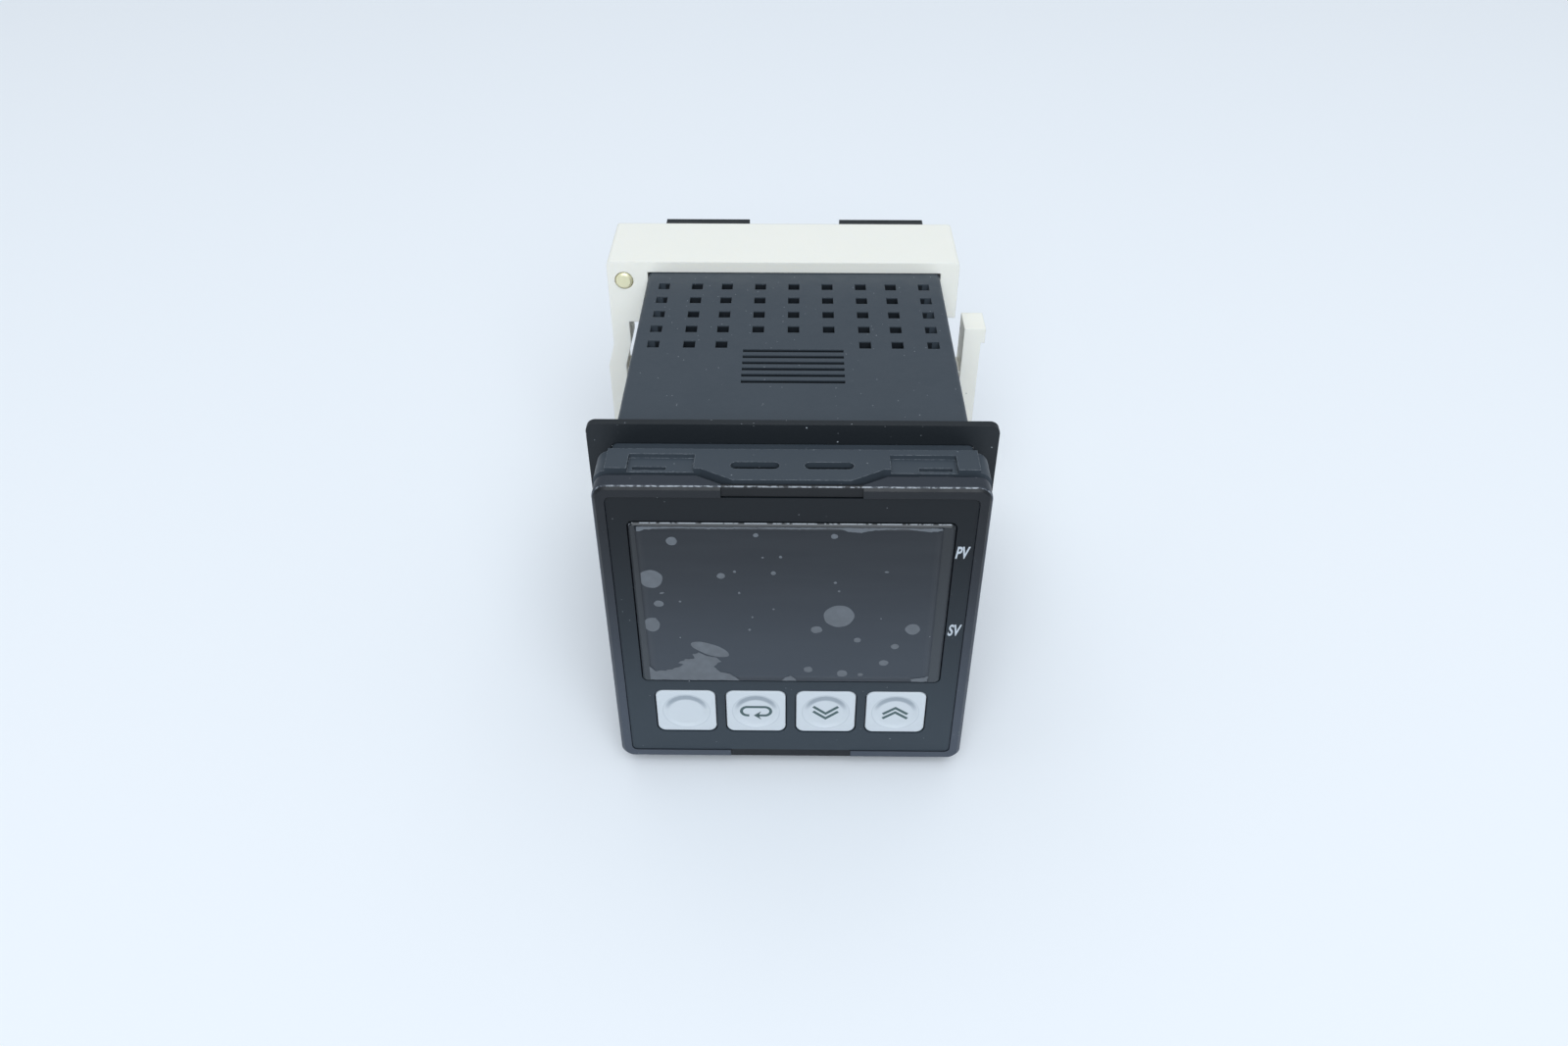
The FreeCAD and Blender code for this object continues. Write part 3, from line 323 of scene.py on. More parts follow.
    def speckled(self):
        """Dust caught along an edge, broken into short dashes."""
        return self.ramp(self.clouds(0.5 * MM, 3.0), 0.36, 0.6)

    def depth_along(self, axis):
        return self.node("ShaderNodeSeparateXYZ", Vector=self.place).outputs[axis]

    def spots(self, spacing, radius, kept):
        """Small round spots, one or none in each cell of a loose grid."""
        cells = self.node("ShaderNodeTexVoronoi", Vector=self.place, Scale=1.0 / spacing)
        shape = self.sums("LESS_THAN", cells.outputs["Distance"], radius / spacing)
        chance = self.node("ShaderNodeSeparateColor", Color=cells.outputs["Color"]).outputs["Red"]
        return self.product(shape, self.sums("LESS_THAN", chance, kept))

    def dusted(self, dust, kept):
        """Sparse pale dust, thicker where a surface faces up."""
        spots = self.spots(2.3 * MM, 0.09 * MM, kept)
        fine = self.spots(0.8 * MM, 0.06 * MM, kept * 1.4)
        lying = self.sums("ADD", self.sums("MULTIPLY", self.upward(), 0.3), 0.3)
        self.mix_colour(dust, self.sums("MAXIMUM", spots, fine), lying)


def moulded(name, base, roughness, settings, kept=None):
    """Fine-grained moulded plastic with soft edges, a little uneven, with dust in its grain."""
    finish = Finish(name, base, roughness)
    finish.shader.inputs["Specular IOR Level"].default_value = 0.36
    finish.soften(settings.edge)
    uneven = finish.clouds(9 * MM, 3.0)
    lighter = tuple(min(1.0, part * 1.25 + 0.003) for part in base)
    finish.mix_colour(lighter, uneven, 0.45)
    finish.mix_roughness(finish.ramp(finish.clouds(3 * MM, 3.0), 0.35, 0.75), min(1.0, roughness + 0.12))
    finish.relief(finish.clouds(settings.grain, 3.0), 0.02 * MM, 0.6)
    finish.dusted(settings.dust, settings.dustiness if kept is None else kept)
    return finish


def black_plastic(name, code, roughness):
    finish = Finish(name, tint(code), roughness)
    finish.relief(finish.clouds(0.3 * MM), 0.01 * MM, 0.5)
    return finish


def dress(finish, *names):
    """Gives CAD nodes their finish."""
    for name in names:
        mesh = NODES[name].data
        mesh.materials.clear()
        mesh.materials.append(finish.material)


# ---- mesh helpers -------------------------------------------------------------------------------

def middle(name):
    low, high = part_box(name)
    return (low + high) / 2


def new_piece(name, build, finish, body, smooth=True):
    """Makes a mesh piece from a bmesh function, and lets it ride on a body."""
    mesh = bpy.data.meshes.new(name)
    shape = bmesh.new()
    build(shape)
    bmesh.ops.recalc_face_normals(shape, faces=shape.faces)
    shape.to_mesh(mesh)
    shape.free()
    mesh.polygons.foreach_set("use_smooth", [smooth] * len(mesh.polygons))
    mesh.materials.append(finish.material)
    piece = bpy.data.objects.new(name, mesh)
    bpy.context.scene.collection.objects.link(piece)
    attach(piece, body)
    return piece


def ring_of(shape, points):
    return [shape.verts.new(point) for point in points]


def bridge(shape, first, second, closed=True):
    count = len(first)
    for index in range(count if closed else count - 1):
        after = (index + 1) % count
        shape.faces.new((first[index], first[after], second[after], second[index]))


def fan(shape, ring, point):
    centre = shape.verts.new(point)
    for index in range(len(ring)):
        shape.faces.new((ring[index], ring[(index + 1) % len(ring)], centre))


def ease(value):
    value = max(0.0, min(1.0, value))
    return value * value * (3 - 2 * value)


def rounded_outline(half_width, half_height, radius, corner_steps=10, side_steps=6):
    """Points round a rectangle with round corners, anticlockwise from the middle of the right side."""
    points = []
    corners = [(1, 1, 0), (-1, 1, 90), (-1, -1, 180), (1, -1, 270)]
    for sign_x, sign_z, start in corners:
        centre_x, centre_z = sign_x * (half_width - radius), sign_z * (half_height - radius)
        for step in range(corner_steps + 1):
            angle = math.radians(start + 90 * step / corner_steps)
            points.append((centre_x + radius * math.cos(angle), centre_z + radius * math.sin(angle)))
        last = points[-1]
        after_x, after_z = corners[(corners.index((sign_x, sign_z, start)) + 1) % 4][:2]
        angle = math.radians(start + 90)
        following = (after_x * (half_width - radius) + radius * math.cos(angle),
                     after_z * (half_height - radius) + radius * math.sin(angle))
        for step in range(1, side_steps):
            part = step / side_steps
            points.append(tuple(start + (end - start) * part for start, end in zip(last, following)))
    return points


# ---- film ---------------------------------------------------------------------------------------

# Bubbles under the film: place from the film's middle, two radii and a tilt, in millimetres and degrees.
BUBBLES = [
    (-14.2, 10.8, 0.67, 0.64, 0), (-4.0, 11.8, 0.33, 0.30, 0), (5.5, 11.7, 0.42, 0.38, 0),
    (-17.15, 4.75, 1.45, 1.5, 0), (-8.4, 5.3, 0.50, 0.45, 0), (-6.7, 6.0, 0.20, 0.18, 0),
    (-1.9, 5.8, 0.32, 0.30, 0), (-16.4, 0.6, 0.62, 0.52, 0), (-17.5, -3.0, 1.00, 1.25, 0),
    (-10.2, -7.4, 2.62, 0.98, -24), (3.6, -3.7, 0.72, 0.60, 0), (6.4, -1.4, 1.96, 1.80, 0),
    (15.9, -3.5, 0.95, 0.92, 0), (8.9, -5.5, 0.46, 0.42, 0), (13.8, -6.6, 0.50, 0.46, 0),
    (12.5, -9.6, 0.62, 0.52, 0), (2.6, -10.9, 0.58, 0.52, 0), (7.1, -11.6, 0.68, 0.62, 0),
    (9.5, -11.8, 0.36, 0.26, 0), (-1.0, 8.4, 0.20, 0.20, 0), (-3.2, 8.3, 0.17, 0.12, 0),
    (5.8, 4.3, 0.20, 0.18, 0), (6.3, 2.9, 0.17, 0.14, 0), (12.1, 6.1, 0.27, 0.14, 0),
    (-6.2, 2.5, 0.16, 0.18, 0), (-5.0, -3.8, 0.17, 0.18, 0), (-4.6, -1.6, 0.14, 0.15, 0),
    (-1.9, -0.2, 0.15, 0.14, 0), (-15.9, 2.4, 0.30, 0.14, 10), (-13.7, 1.0, 0.17, 0.15, 0),
]
# Places where the film has come off along its edges, as outlines from the film's middle.
LOOSE_EDGES = [
    [(-18.5, -10.3), (-17.6, -11.4), (-16.1, -11.2), (-14.3, -10.6), (-13.8, -10.1), (-14.6, -9.8),
     (-13.4, -9.1), (-12.3, -9.0), (-12.5, -8.2), (-11.7, -7.9), (-10.7, -8.5), (-9.4, -8.8),
     (-8.9, -9.5), (-9.8, -10.5), (-9.0, -11.5), (-7.9, -11.7), (-6.7, -12.7), (-6.6, -13.0),
     (-18.5, -13.0)],
    [(4.6, 12.9), (6.4, 12.8), (7.2, 12.4), (8.7, 12.3), (10.2, 12.7), (11.7, 12.8), (14.3, 12.9),
     (15.7, 12.6), (17.3, 12.5), (18.5, 12.7), (18.5, 13.0), (4.6, 13.0)],
    [(-18.5, 12.2), (-18.0, 12.3), (-17.4, 12.6), (-15.5, 12.75), (-14.0, 12.85), (-9.0, 12.75),
     (-4.0, 12.85), (1.0, 12.78), (4.6, 12.85), (4.6, 13.0), (-18.5, 13.0)],
    [(-0.8, -12.8), (-0.3, -12.2), (0.4, -12.1), (1.0, -12.8), (1.0, -13.0), (-0.8, -13.0)],
    [(16.3, -12.6), (17.4, -12.3), (18.5, -12.0), (18.5, -13.0), (16.3, -13.0)],
]


def film_sheet(shape, rise):
    """The flat film, set back by a bubble's height, with a left edge that isn't quite upright."""
    low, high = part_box("protective_film")
    lean = 0.35 * MM
    steps_up, steps_across = 24, 36
    rows = []
    for row in range(steps_up + 1):
        up = row / steps_up
        left = low.x + lean * (1 - up)
        front, rear = [], []
        for column in range(steps_across + 1):
            x = left + (high.x - left) * column / steps_across
            z = low.z + (high.z - low.z) * up
            wave = noise.noise(Vector((x * 180, z * 260, 3.1)))
            front.append(shape.verts.new((x, low.y + 1.2 * rise + 0.15 * rise * wave, z)))
            rear.append(shape.verts.new((x, high.y, z)))
        rows.append((front, rear))
    for (front, rear), (next_front, next_rear) in zip(rows, rows[1:]):
        bridge(shape, front, next_front, closed=False)
        bridge(shape, rear, next_rear, closed=False)
        for end in (0, -1):
            shape.faces.new((front[end], next_front[end], next_rear[end], rear[end]))
    for front, rear in (rows[0], rows[-1]):
        bridge(shape, front, rear, closed=False)


def film_blisters(shape, rise):
    """Low domes of air between the window and the film, cut straight at the film's edge."""
    low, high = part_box("protective_film")
    centre = (low + high) / 2
    base = low.y + 1.1 * rise
    margin = 0.05 * MM

    def place(x, z, lift):
        return (max(low.x + 5 * margin, min(high.x - margin, centre.x + x)), base - lift * rise,
                max(low.z + margin, min(high.z - margin, centre.z + z)))

    for number, (x, z, wide, tall, tilt) in enumerate(BUBBLES):
        turn = math.radians(tilt)
        steps = 40
        wobble = [1 + 0.10 * noise.noise(Vector((math.cos(a) * 1.3, math.sin(a) * 1.3, number * 3.7)))
                  for a in (2 * math.pi * step / steps for step in range(steps))]
        previous = None
        for part, lift in ((1.0, 0.0), (0.9, 0.6), (0.75, 0.85), (0.5, 0.97), (0.25, 1.0)):
            ring = []
            for step in range(steps):
                angle = 2 * math.pi * step / steps
                across = wide * part * wobble[step] * math.cos(angle)
                along = tall * part * wobble[step] * math.sin(angle)
                ring.append(place((x + across * math.cos(turn) - along * math.sin(turn)) * MM,
                                  (z + across * math.sin(turn) + along * math.cos(turn)) * MM, lift))
            ring = ring_of(shape, ring)
            if previous:
                bridge(shape, previous, ring)
            previous = ring
        fan(shape, previous, place(x * MM, z * MM, 1.0))
    for number, outline in enumerate(LOOSE_EDGES):
        ragged = []
        for index, start in enumerate(outline):
            end = outline[(index + 1) % len(outline)]
            steps = max(1, round(math.dist(start, end) / 0.25))
            for step in range(steps):
                part = step / steps
                x, z = (start[0] + (end[0] - start[0]) * part, start[1] + (end[1] - start[1]) * part)
                shake = 0.22 * noise.noise(Vector((x * 2.1, z * 2.1, number)))
                ragged.append((x + shake, z - shake * 0.6))
        points = [Vector((x * MM, z * MM, 0)) for x, z in ragged]
        verts = ring_of(shape, [place(point.x, point.y, 0.7) for point in points])
        for corners in geometry.tessellate_polygon([points]):
            try:
                shape.faces.new([verts[corner] for corner in corners])
            except ValueError:
                continue


class CONTROLLER_OT_window(bpy.types.Operator):
    """Gives the smoked window, its shipping film and the air bubbles under the film their looks"""
    bl_idname = "controller.window"
    bl_label = "Window and film"

    def execute(self, context):
        looks = context.scene.controller_window
        case = context.scene.controller_case
        pane = Finish("smoked_window", looks.pane, 0.32)
        pane.mix_roughness(pane.clouds(6 * MM, 2.0), 0.42)
        # Painted shade: the window darkens towards its top.
        pane.paint_shade_up("display_window", case.shade, 0.7)
        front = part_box("display_window")[0].y
        ledge = pane.between(pane.depth_along("Y"), front + 0.2 * MM, front + 0.29 * MM)
        lint = pane.ramp(pane.clouds(0.7 * MM, 3.0), 0.44, 0.52)
        pane.mix_colour(case.dust, pane.upward(), lint, ledge, 0.8)
        pane.dusted(case.dust, case.dustiness * 0.5)
        dress(pane, "display_window")

        film = Finish("shipping_film", looks.film, 0.4)
        film.shader.inputs["Specular IOR Level"].default_value = 0.42
        # Painted shade: the film darkens towards its upper edge.
        film.paint_shade_up("protective_film", looks.film_shade, 0.9)
        streaks = film.ramp(film.clouds(2.2 * MM, 3.0, (0.12, 1.0, 1.0)), 0.35, 0.8)
        film.mix_colour(looks.bubble, streaks, 0.04)
        film.mix_colour(case.dust, film.spots(1.6 * MM, 0.08 * MM, 0.25), 0.35)
        sheet = new_piece("film_sheet", lambda shape: film_sheet(shape, looks.bubble_rise), film,
                          "mechanism")
        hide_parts("protective_film")

        air = Finish("film_over_air", looks.bubble, 0.5)
        air.mix_colour(looks.bubble_edge, air.ramp(air.clouds(1.1 * MM, 4.0), 0.3, 0.8), 0.35)
        new_piece("film_bubbles", lambda shape: film_blisters(shape, looks.bubble_rise), air,
                  "mechanism")
        return {"FINISHED"}


# ---- keys ---------------------------------------------------------------------------------------

KEY_NAMES = ("blank", "loop", "down", "up")


def key_cap(shape, name, looks):
    """A key with its round dish, bevelled plate and stem, in the solid's own box."""
    low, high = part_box(f"key_{name}")
    centre = (low + high) / 2
    half_width, half_height = (high.x - low.x) / 2, (high.z - low.z) / 2
    bevel = looks.key_bevel
    outline = rounded_outline(half_width, half_height, looks.key_corner)
    directions = [math.atan2(z, x) for x, z in outline]
    front = low.y
    plate_rear = front + 0.8 * MM

    def circle(radius, y, drop=0.0):
        return [(centre.x + radius * math.cos(a), y, centre.z - drop + radius * math.sin(a))
                for a in directions]

    def square(half, y):
        reach = [half / max(abs(math.cos(a)), abs(math.sin(a))) for a in directions]
        return [(centre.x + along * math.cos(a), y, centre.z + along * math.sin(a))
                for along, a in zip(reach, directions)]

    def inset(amount, y):
        inner = rounded_outline(half_width - amount, half_height - amount, looks.key_corner - amount)
        return [(centre.x + x, y, centre.z + z) for x, z in inner]

    rings = []
    for part in (0.3, 0.6, 0.85, 1.0):
        rings.append(circle(looks.dish_floor * part, front + looks.dish_depth, looks.dish_drop))
    slope = looks.dish_radius - looks.dish_floor
    for step in range(1, 9):
        part = step / 8
        rings.append(circle(looks.dish_floor + slope * part, front + looks.dish_depth * (1 - ease(part)),
                            looks.dish_drop * (1 - part)))
    painted_rim_line = len(rings) - 1
    rings.append(circle(looks.dish_radius + 0.07 * MM, front))
    rings.append(inset(bevel + 0.12 * MM, front))
    for step in range(6):
        angle = math.pi / 2 * step / 5
        rings.append(inset(bevel * (1 - math.sin(angle)), front + bevel * (1 - math.cos(angle))))
    rings.append(inset(0, plate_rear))
    rings.append(square(looks.stem / 2, plate_rear))
    rings.append(square(looks.stem / 2, high.y))
    # Marks the dish's rim, where the keys' material paints a line of shade.
    edge = shape.verts.layers.float.new("dish_rim_painted_shade")
    made = [ring_of(shape, ring) for ring in rings]
    for vertex in made[painted_rim_line]:
        vertex[edge] = 1.0
    for first, second in zip(made, made[1:]):
        bridge(shape, first, second)
    fan(shape, made[0], (centre.x, front + looks.dish_depth, centre.z - looks.dish_drop))
    fan(shape, made[-1], (centre.x, high.y, centre.z))


def printed_line(shape, points, width, surface):
    """A flat line of even width through the points, laid on a surface."""
    sides = []
    for index, (x, z) in enumerate(points):
        before = Vector(points[max(index - 1, 0)])
        after = Vector(points[min(index + 1, len(points) - 1)])
        here = Vector((x, z))
        into, out = (here - before), (after - here)
        into = into.normalized() if into.length else out.normalized()
        out = out.normalized() if out.length else into
        along = (into + out).normalized()
        across = Vector((-along.y, along.x)) * (width / 2 / max(0.4, along.dot(into)))
        sides.append([shape.verts.new(surface(*(here + across * sign))) for sign in (1, 0, -1)])
    for first, second in zip(sides, sides[1:]):
        for lane in (0, 1):
            shape.faces.new((first[lane], first[lane + 1], second[lane + 1], second[lane]))


def printed_patch(shape, points, surface):
    flat = [Vector((x, z, 0)) for x, z in points]
    verts = [shape.verts.new(surface(x, z)) for x, z in points]
    for corners in geometry.tessellate_polygon([flat]):
        shape.faces.new([verts[corner] for corner in corners])


def arc(centre_x, centre_z, radius, start, end, steps=14):
    for step in range(steps + 1):
        angle = math.radians(start + (end - start) * step / steps)
        yield centre_x + radius * math.cos(angle), centre_z + radius * math.sin(angle)


def loop_sign(shape, line, surface):
    """A long loop that turns back on itself, ending in an arrow head."""
    radius, half, drop = 0.83 * MM, 1.18 * MM, -0.20 * MM
    points = [(-0.95 * MM, drop - radius), (-half, drop - radius)]
    points += list(arc(-half, drop, radius, 270, 90))[1:]
    points += list(arc(half, drop, radius, 90, -90))
    points += [(0.25 * MM, drop - radius)]
    printed_line(shape, points, line, surface)
    tip, level = -0.33 * MM, drop - radius
    printed_patch(shape, [(tip, level), (0.72 * MM, level + 0.85 * MM), (0.36 * MM, level + 0.12 * MM),
                          (0.36 * MM, level - 0.12 * MM), (0.72 * MM, level - 0.85 * MM)], surface)


def chevron_sign(shape, tops, drop, line, surface):
    """Two chevrons, one above the other."""
    reach = 1.7 * MM
    for top in tops:
        arms = [(-reach, top * MM), (-reach / 2, (top + drop / 2) * MM), (0, (top + drop) * MM),
                (reach / 2, (top + drop / 2) * MM), (reach, top * MM)]
        printed_line(shape, arms, line, surface)


class CONTROLLER_OT_keys(bpy.types.Operator):
    """Builds the white keys with their dishes and the signs printed on them"""
    bl_idname = "controller.keys"
    bl_label = "Keys and signs"

    def execute(self, context):
        looks = context.scene.controller_keys
        white = Finish("key_plastic", looks.plastic, 0.42)
        white.mix_colour(tint("#BEC6CE"), white.clouds(4 * MM, 2.0), 0.25)
        white.translucent(0.08, (0.6 * MM, 0.6 * MM, 0.7 * MM))
        white.relief(white.clouds(0.18 * MM, 2.0), 0.006 * MM, 0.5)
        # Painted shade: the dish's upper slope, which faces a little down, is darkened.
        white.mix_colour(tint("#7F8B96"), white.downward(), 0.72)
        # Painted shade: a darker line along the rim of each key's dish.
        painted_rim_line = white.node("ShaderNodeAttribute", {"attribute_name": "dish_rim_painted_shade"}).outputs["Fac"]
        white.mix_colour(tint("#8F9AA4"), painted_rim_line, 0.35)
        ink = Finish("key_ink", looks.mark, 0.5)
        ink.mix_colour(tint("#5B7275"), ink.clouds(0.3 * MM, 3.0), 0.4)
        for name in KEY_NAMES:
            body = f"button_{name}"
            cap = new_piece(f"key_cap_{name}", lambda shape: key_cap(shape, name, looks), white,
                            body)
            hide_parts(f"key_{name}")
            centre = middle(f"key_{name}")
            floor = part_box(f"key_{name}")[0].y + looks.dish_depth

            def surface(x, z):
                return centre.x + x, floor - 0.012 * MM, centre.z + z

            def sign(shape):
                if name == "loop":
                    loop_sign(shape, looks.line, surface)
                else:
                    tops, drop = ((0.80, -0.14), -1.36) if name == "down" else ((-0.56, -1.42), 1.2)
                    chevron_sign(shape, tops, drop, looks.line, surface)

            if name != "blank":
                new_piece(f"key_sign_{name}", sign, ink, body, smooth=False)
        stems = [f"switch_stem_{name}" for name in KEY_NAMES]
        dress(black_plastic("switch_stem", "#2A2A2B", 0.4), *stems)
        dress(black_plastic("switch_base", "#1D1D1F", 0.5), "key_switches")
        return {"FINISHED"}


class CONTROLLER_OT_letters(bpy.types.Operator):
    """Prints the two short function marks beside the window"""
    bl_idname = "controller.letters"
    bl_label = "Function marks"

    def execute(self, context):
        looks = context.scene.controller_keys
        ink = Finish("letter_ink", looks.letters, 0.5)
        ink.mix_colour(tint("#AEB9C2"), ink.clouds(0.25 * MM, 3.0), 0.35)
        low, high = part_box("key_sheet")
        right = high.x
        window = middle("display_window")
        for name, text, across, up, height in (("process_mark", "PV", 1.43, 8.9, 1.9),
                                               ("setpoint_mark", "SV", 1.30, -4.05, 1.95)):
            curve = bpy.data.curves.new(name, "FONT")
            curve.body = text
            curve.align_x, curve.align_y = "CENTER", "CENTER"
            curve.size = height * MM * 1.36
            curve.shear = 0.22
            curve.offset = 0.07 * MM
            curve.resolution_u = 6
            drawn = bpy.data.objects.new(name + "_curve", curve)
            mesh = bpy.data.meshes.new_from_object(drawn)
            mesh.name = name
            bpy.data.objects.remove(drawn)
            bpy.data.curves.remove(curve)
            for vertex in mesh.vertices:
                x, z = vertex.co.x * 0.54, vertex.co.y
                vertex.co = (right - across * MM + x, low.y - 0.015 * MM, window.z + up * MM + z)
            mesh.materials.clear()
            mesh.materials.append(ink.material)
            piece = bpy.data.objects.new(name, mesh)
            context.scene.collection.objects.link(piece)
            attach(piece, "mechanism")
        return {"FINISHED"}


# ---- case, bezel and gasket -----------------------------------------------------------------------

FLANGE_DEPTH = 2.26 * MM    # the housing's flange, in front of the walls behind the tongue's slots
CASE_HALF = 22.6 * MM       # from the case's middle to the outside of its walls
SLOT_REACH = 8 * MM         # the tongue's slots lie nearer to the middle than this
SLOT_MOUTH = 23.2 * MM      # height of the surface that the slots open in
NOTCH_REACH = 8.4 * MM      # half the width of the notches in the bezel's edges
FACE_DEPTH = 0.3 * MM       # the bezel's front face, back to the round of its edge
RIM_DEPTH = 0.13 * MM       # the line along that edge where dust lies

class CONTROLLER_OT_case(bpy.types.Operator):
    """Gives the case, the bezel, the front sheet, the gasket and the terminal block their plastics"""
    bl_idname = "controller.case"
    bl_label = "Case and front"

    def execute(self, context):
        looks = context.scene.controller_case
        case = moulded("case_plastic", looks.moulding, 0.46, looks)
        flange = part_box("housing")[0].y + FLANGE_DEPTH
        along = case.depth_along("Y")
        height = case.sums("ABSOLUTE", case.depth_along("Z"))
        # Painted shade: the tongue's slots, just behind the flange, are darkened.
        slots = case.product(case.within("X", SLOT_REACH), case.sums("LESS_THAN", height, SLOT_MOUTH))
        case.mix_colour(looks.shade, slots, case.between(along, flange - 0.1 * MM, flange + 1.6 * MM), 0.85)
        # Painted shade: inside the top and bottom walls, behind the flange, the plastic is darkened so the
        # vents read deeper.
        vent_shade_zone = case.product(case.within("X", CASE_HALF - 3 * MM),
                             case.sums("GREATER_THAN", along, flange + 6 * MM))
        walls = case.between(height, CASE_HALF - 1.2 * MM, CASE_HALF - 0.2 * MM)
        case.mix_colour(looks.shade, walls, vent_shade_zone, 0.8)
        lips = case.product(case.upper_edges(), case.sums("LESS_THAN", along, -4 * MM), case.speckled())
        case.mix_colour(looks.dust, lips, 0.5)
        dress(case, "housing")
        block = moulded("terminal_plastic", tint("#1E2327"), 0.5, looks, kept=0.1)
        dress(block, "terminal_block")
        bezel = moulded("bezel_plastic", looks.bezel, 0.42, looks)
        sheet_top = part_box("key_sheet")[1].z
        into = bezel.sums("SUBTRACT", bezel.depth_along("Y"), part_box("front_cover")[0].y)
        height = bezel.depth_along("Z")
        # Painted shade: the bezel is darkened almost to black in its notches, above and below the front
        # sheet.
        beyond = bezel.sums("GREATER_THAN", bezel.sums("ABSOLUTE", height), sheet_top)
        bezel.mix_colour(looks.shade, bezel.within("X", NOTCH_REACH), beyond, 0.9)
        # Painted shade: the bezel's upward faces are darkened.
        bezel.mix_colour(looks.shade, bezel.upward(), 0.55)
        # Painted shade: the bezel's front face darkens towards its top.
        face = bezel.sums("LESS_THAN", into, FACE_DEPTH)
        bezel.mix_colour(looks.shade, bezel.ramp(height, -sheet_top, sheet_top), face, 0.9)
        rim = bezel.between(into, FACE_DEPTH, FACE_DEPTH + RIM_DEPTH)
        bezel.mix_colour(looks.dust, rim, bezel.speckled(), bezel.upward(), 0.5)
        dress(bezel, "front_cover")
        sheet = Finish("front_print", looks.front_print, 0.44)
        sheet.mix_roughness(sheet.clouds(4 * MM, 2.0), 0.52)
        sheet.relief(sheet.clouds(0.35 * MM, 2.0), 0.006 * MM, 0.5)
        sheet.shader.inputs["Specular IOR Level"].default_value = 0.26
        # Painted shade: the front sheet darkens towards its top.
        sheet.paint_shade_up("key_sheet", looks.shade, 0.9)
        sheet.dusted(looks.dust, looks.dustiness * 0.6)
        dress(sheet, "key_sheet")
        rubber = Finish("gasket_rubber", looks.rubber, 0.62)
        rubber.soften(0.15 * MM)
        rubber.relief(rubber.clouds(0.4 * MM, 3.0), 0.02 * MM, 0.7)
        rubber.dusted(looks.dust, looks.dustiness)
        rubber.mix_colour(looks.dust, rubber.spots(1.3 * MM, 0.1 * MM, 0.35), 0.7)
        dress(rubber, "gasket")
        return {"FINISHED"}


# ---- adapter and screws ---------------------------------------------------------------------------

def thread_turns(shape, name, looks):
    """A fine single-start thread along a clamp screw's shank."""
    low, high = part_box(name)
    centre = (low + high) / 2
    start, end = low.y + 0.35 * MM, high.y - 2.0 * MM
    root, crest = 1.27 * MM, 1.3 * MM + looks.thread_depth
    pitch, around, levels = looks.thread_pitch, 28, 6
    rows = int((end - start) / pitch * levels)
    previous = None
    for row in range(rows + 1):
        along = row / levels * pitch
        fade = ease(min(row, rows - row) / levels)
        ring = []
        for step in range(around):
            angle = 2 * math.pi * step / around
            phase = (along / pitch - step / around) % 1.0
            height = max(0.0, 1 - abs(phase - 0.5) / 0.42) * fade
            radius = root + (crest - root) * min(1.0, height * 1.25)
            ring.append((centre.x + radius * math.cos(angle), start + along,
                         centre.z + radius * math.sin(angle)))
        ring = ring_of(shape, ring)
        if previous:
            bridge(shape, previous, ring)
        previous = ring


class CONTROLLER_OT_adapter(bpy.types.Operator):
    """Gives the mounting adapter its cream plastic and the clamp screws their plating and threads"""
    bl_idname = "controller.adapter"
    bl_label = "Mounting adapter"

    def execute(self, context):
        looks = context.scene.controller_adapter
        cream = Finish("adapter_plastic", looks.plastic, 0.4)
        cream.soften(0.2 * MM)
        cream.mix_colour(tint("#EAECE4"), cream.clouds(7 * MM, 3.0), 0.3)
        cream.translucent(0.12, (1.2 * MM, 1.1 * MM, 0.9 * MM))
        cream.relief(cream.clouds(0.3 * MM, 2.0), 0.008 * MM, 0.5)
        cream.mix_colour(tint("#A9AAA2"), cream.spots(2.6 * MM, 0.1 * MM, 0.2))
        dress(cream, "mounting_adapter")
        plated = Finish("yellow_plating", looks.plating, 0.38, 0.4)
        plated.mix_colour(tint("#EFE9C2"), plated.clouds(1.2 * MM, 3.0))
        plated.soften(0.08 * MM)
        dress(plated, "clamp_screw_left", "clamp_screw_right")
        for side in ("left", "right"):
            new_piece(f"clamp_thread_{side}",
                      lambda shape: thread_turns(shape, f"clamp_screw_{side}", looks),
                      plated, f"clamp_{side}")
        return {"FINISHED"}


class CONTROLLER_OT_terminals(bpy.types.Operator):
    """Gives the terminal screws, their washers and the contact strips their metals"""
    bl_idname = "controller.terminals"
    bl_label = "Terminals"

    def execute(self, context):
        looks = context.scene.controller_adapter
        zinc = Finish("zinc_plating", looks.zinc, 0.3, 0.95)
        zinc.soften(0.1 * MM)
        zinc.mix_colour(tint("#A9ADB3"), zinc.clouds(1.5 * MM, 3.0))
        zinc.mix_roughness(zinc.clouds(0.6 * MM, 3.0), 0.42)
        dress(zinc, "terminal_screws", "terminal_washers")
        tin = Finish("tinned_brass", looks.tin, 0.34, 0.95)
        tin.mix_colour(tint("#BDB39B"), tin.clouds(2.0 * MM, 3.0))
        tin.relief(tin.clouds(0.5 * MM, 2.0, (1.0, 0.1, 1.0)), 0.01 * MM, 0.4)
        dress(tin, "terminal_contacts")
        return {"FINISHED"}


# ---- electronics ----------------------------------------------------------------------------------

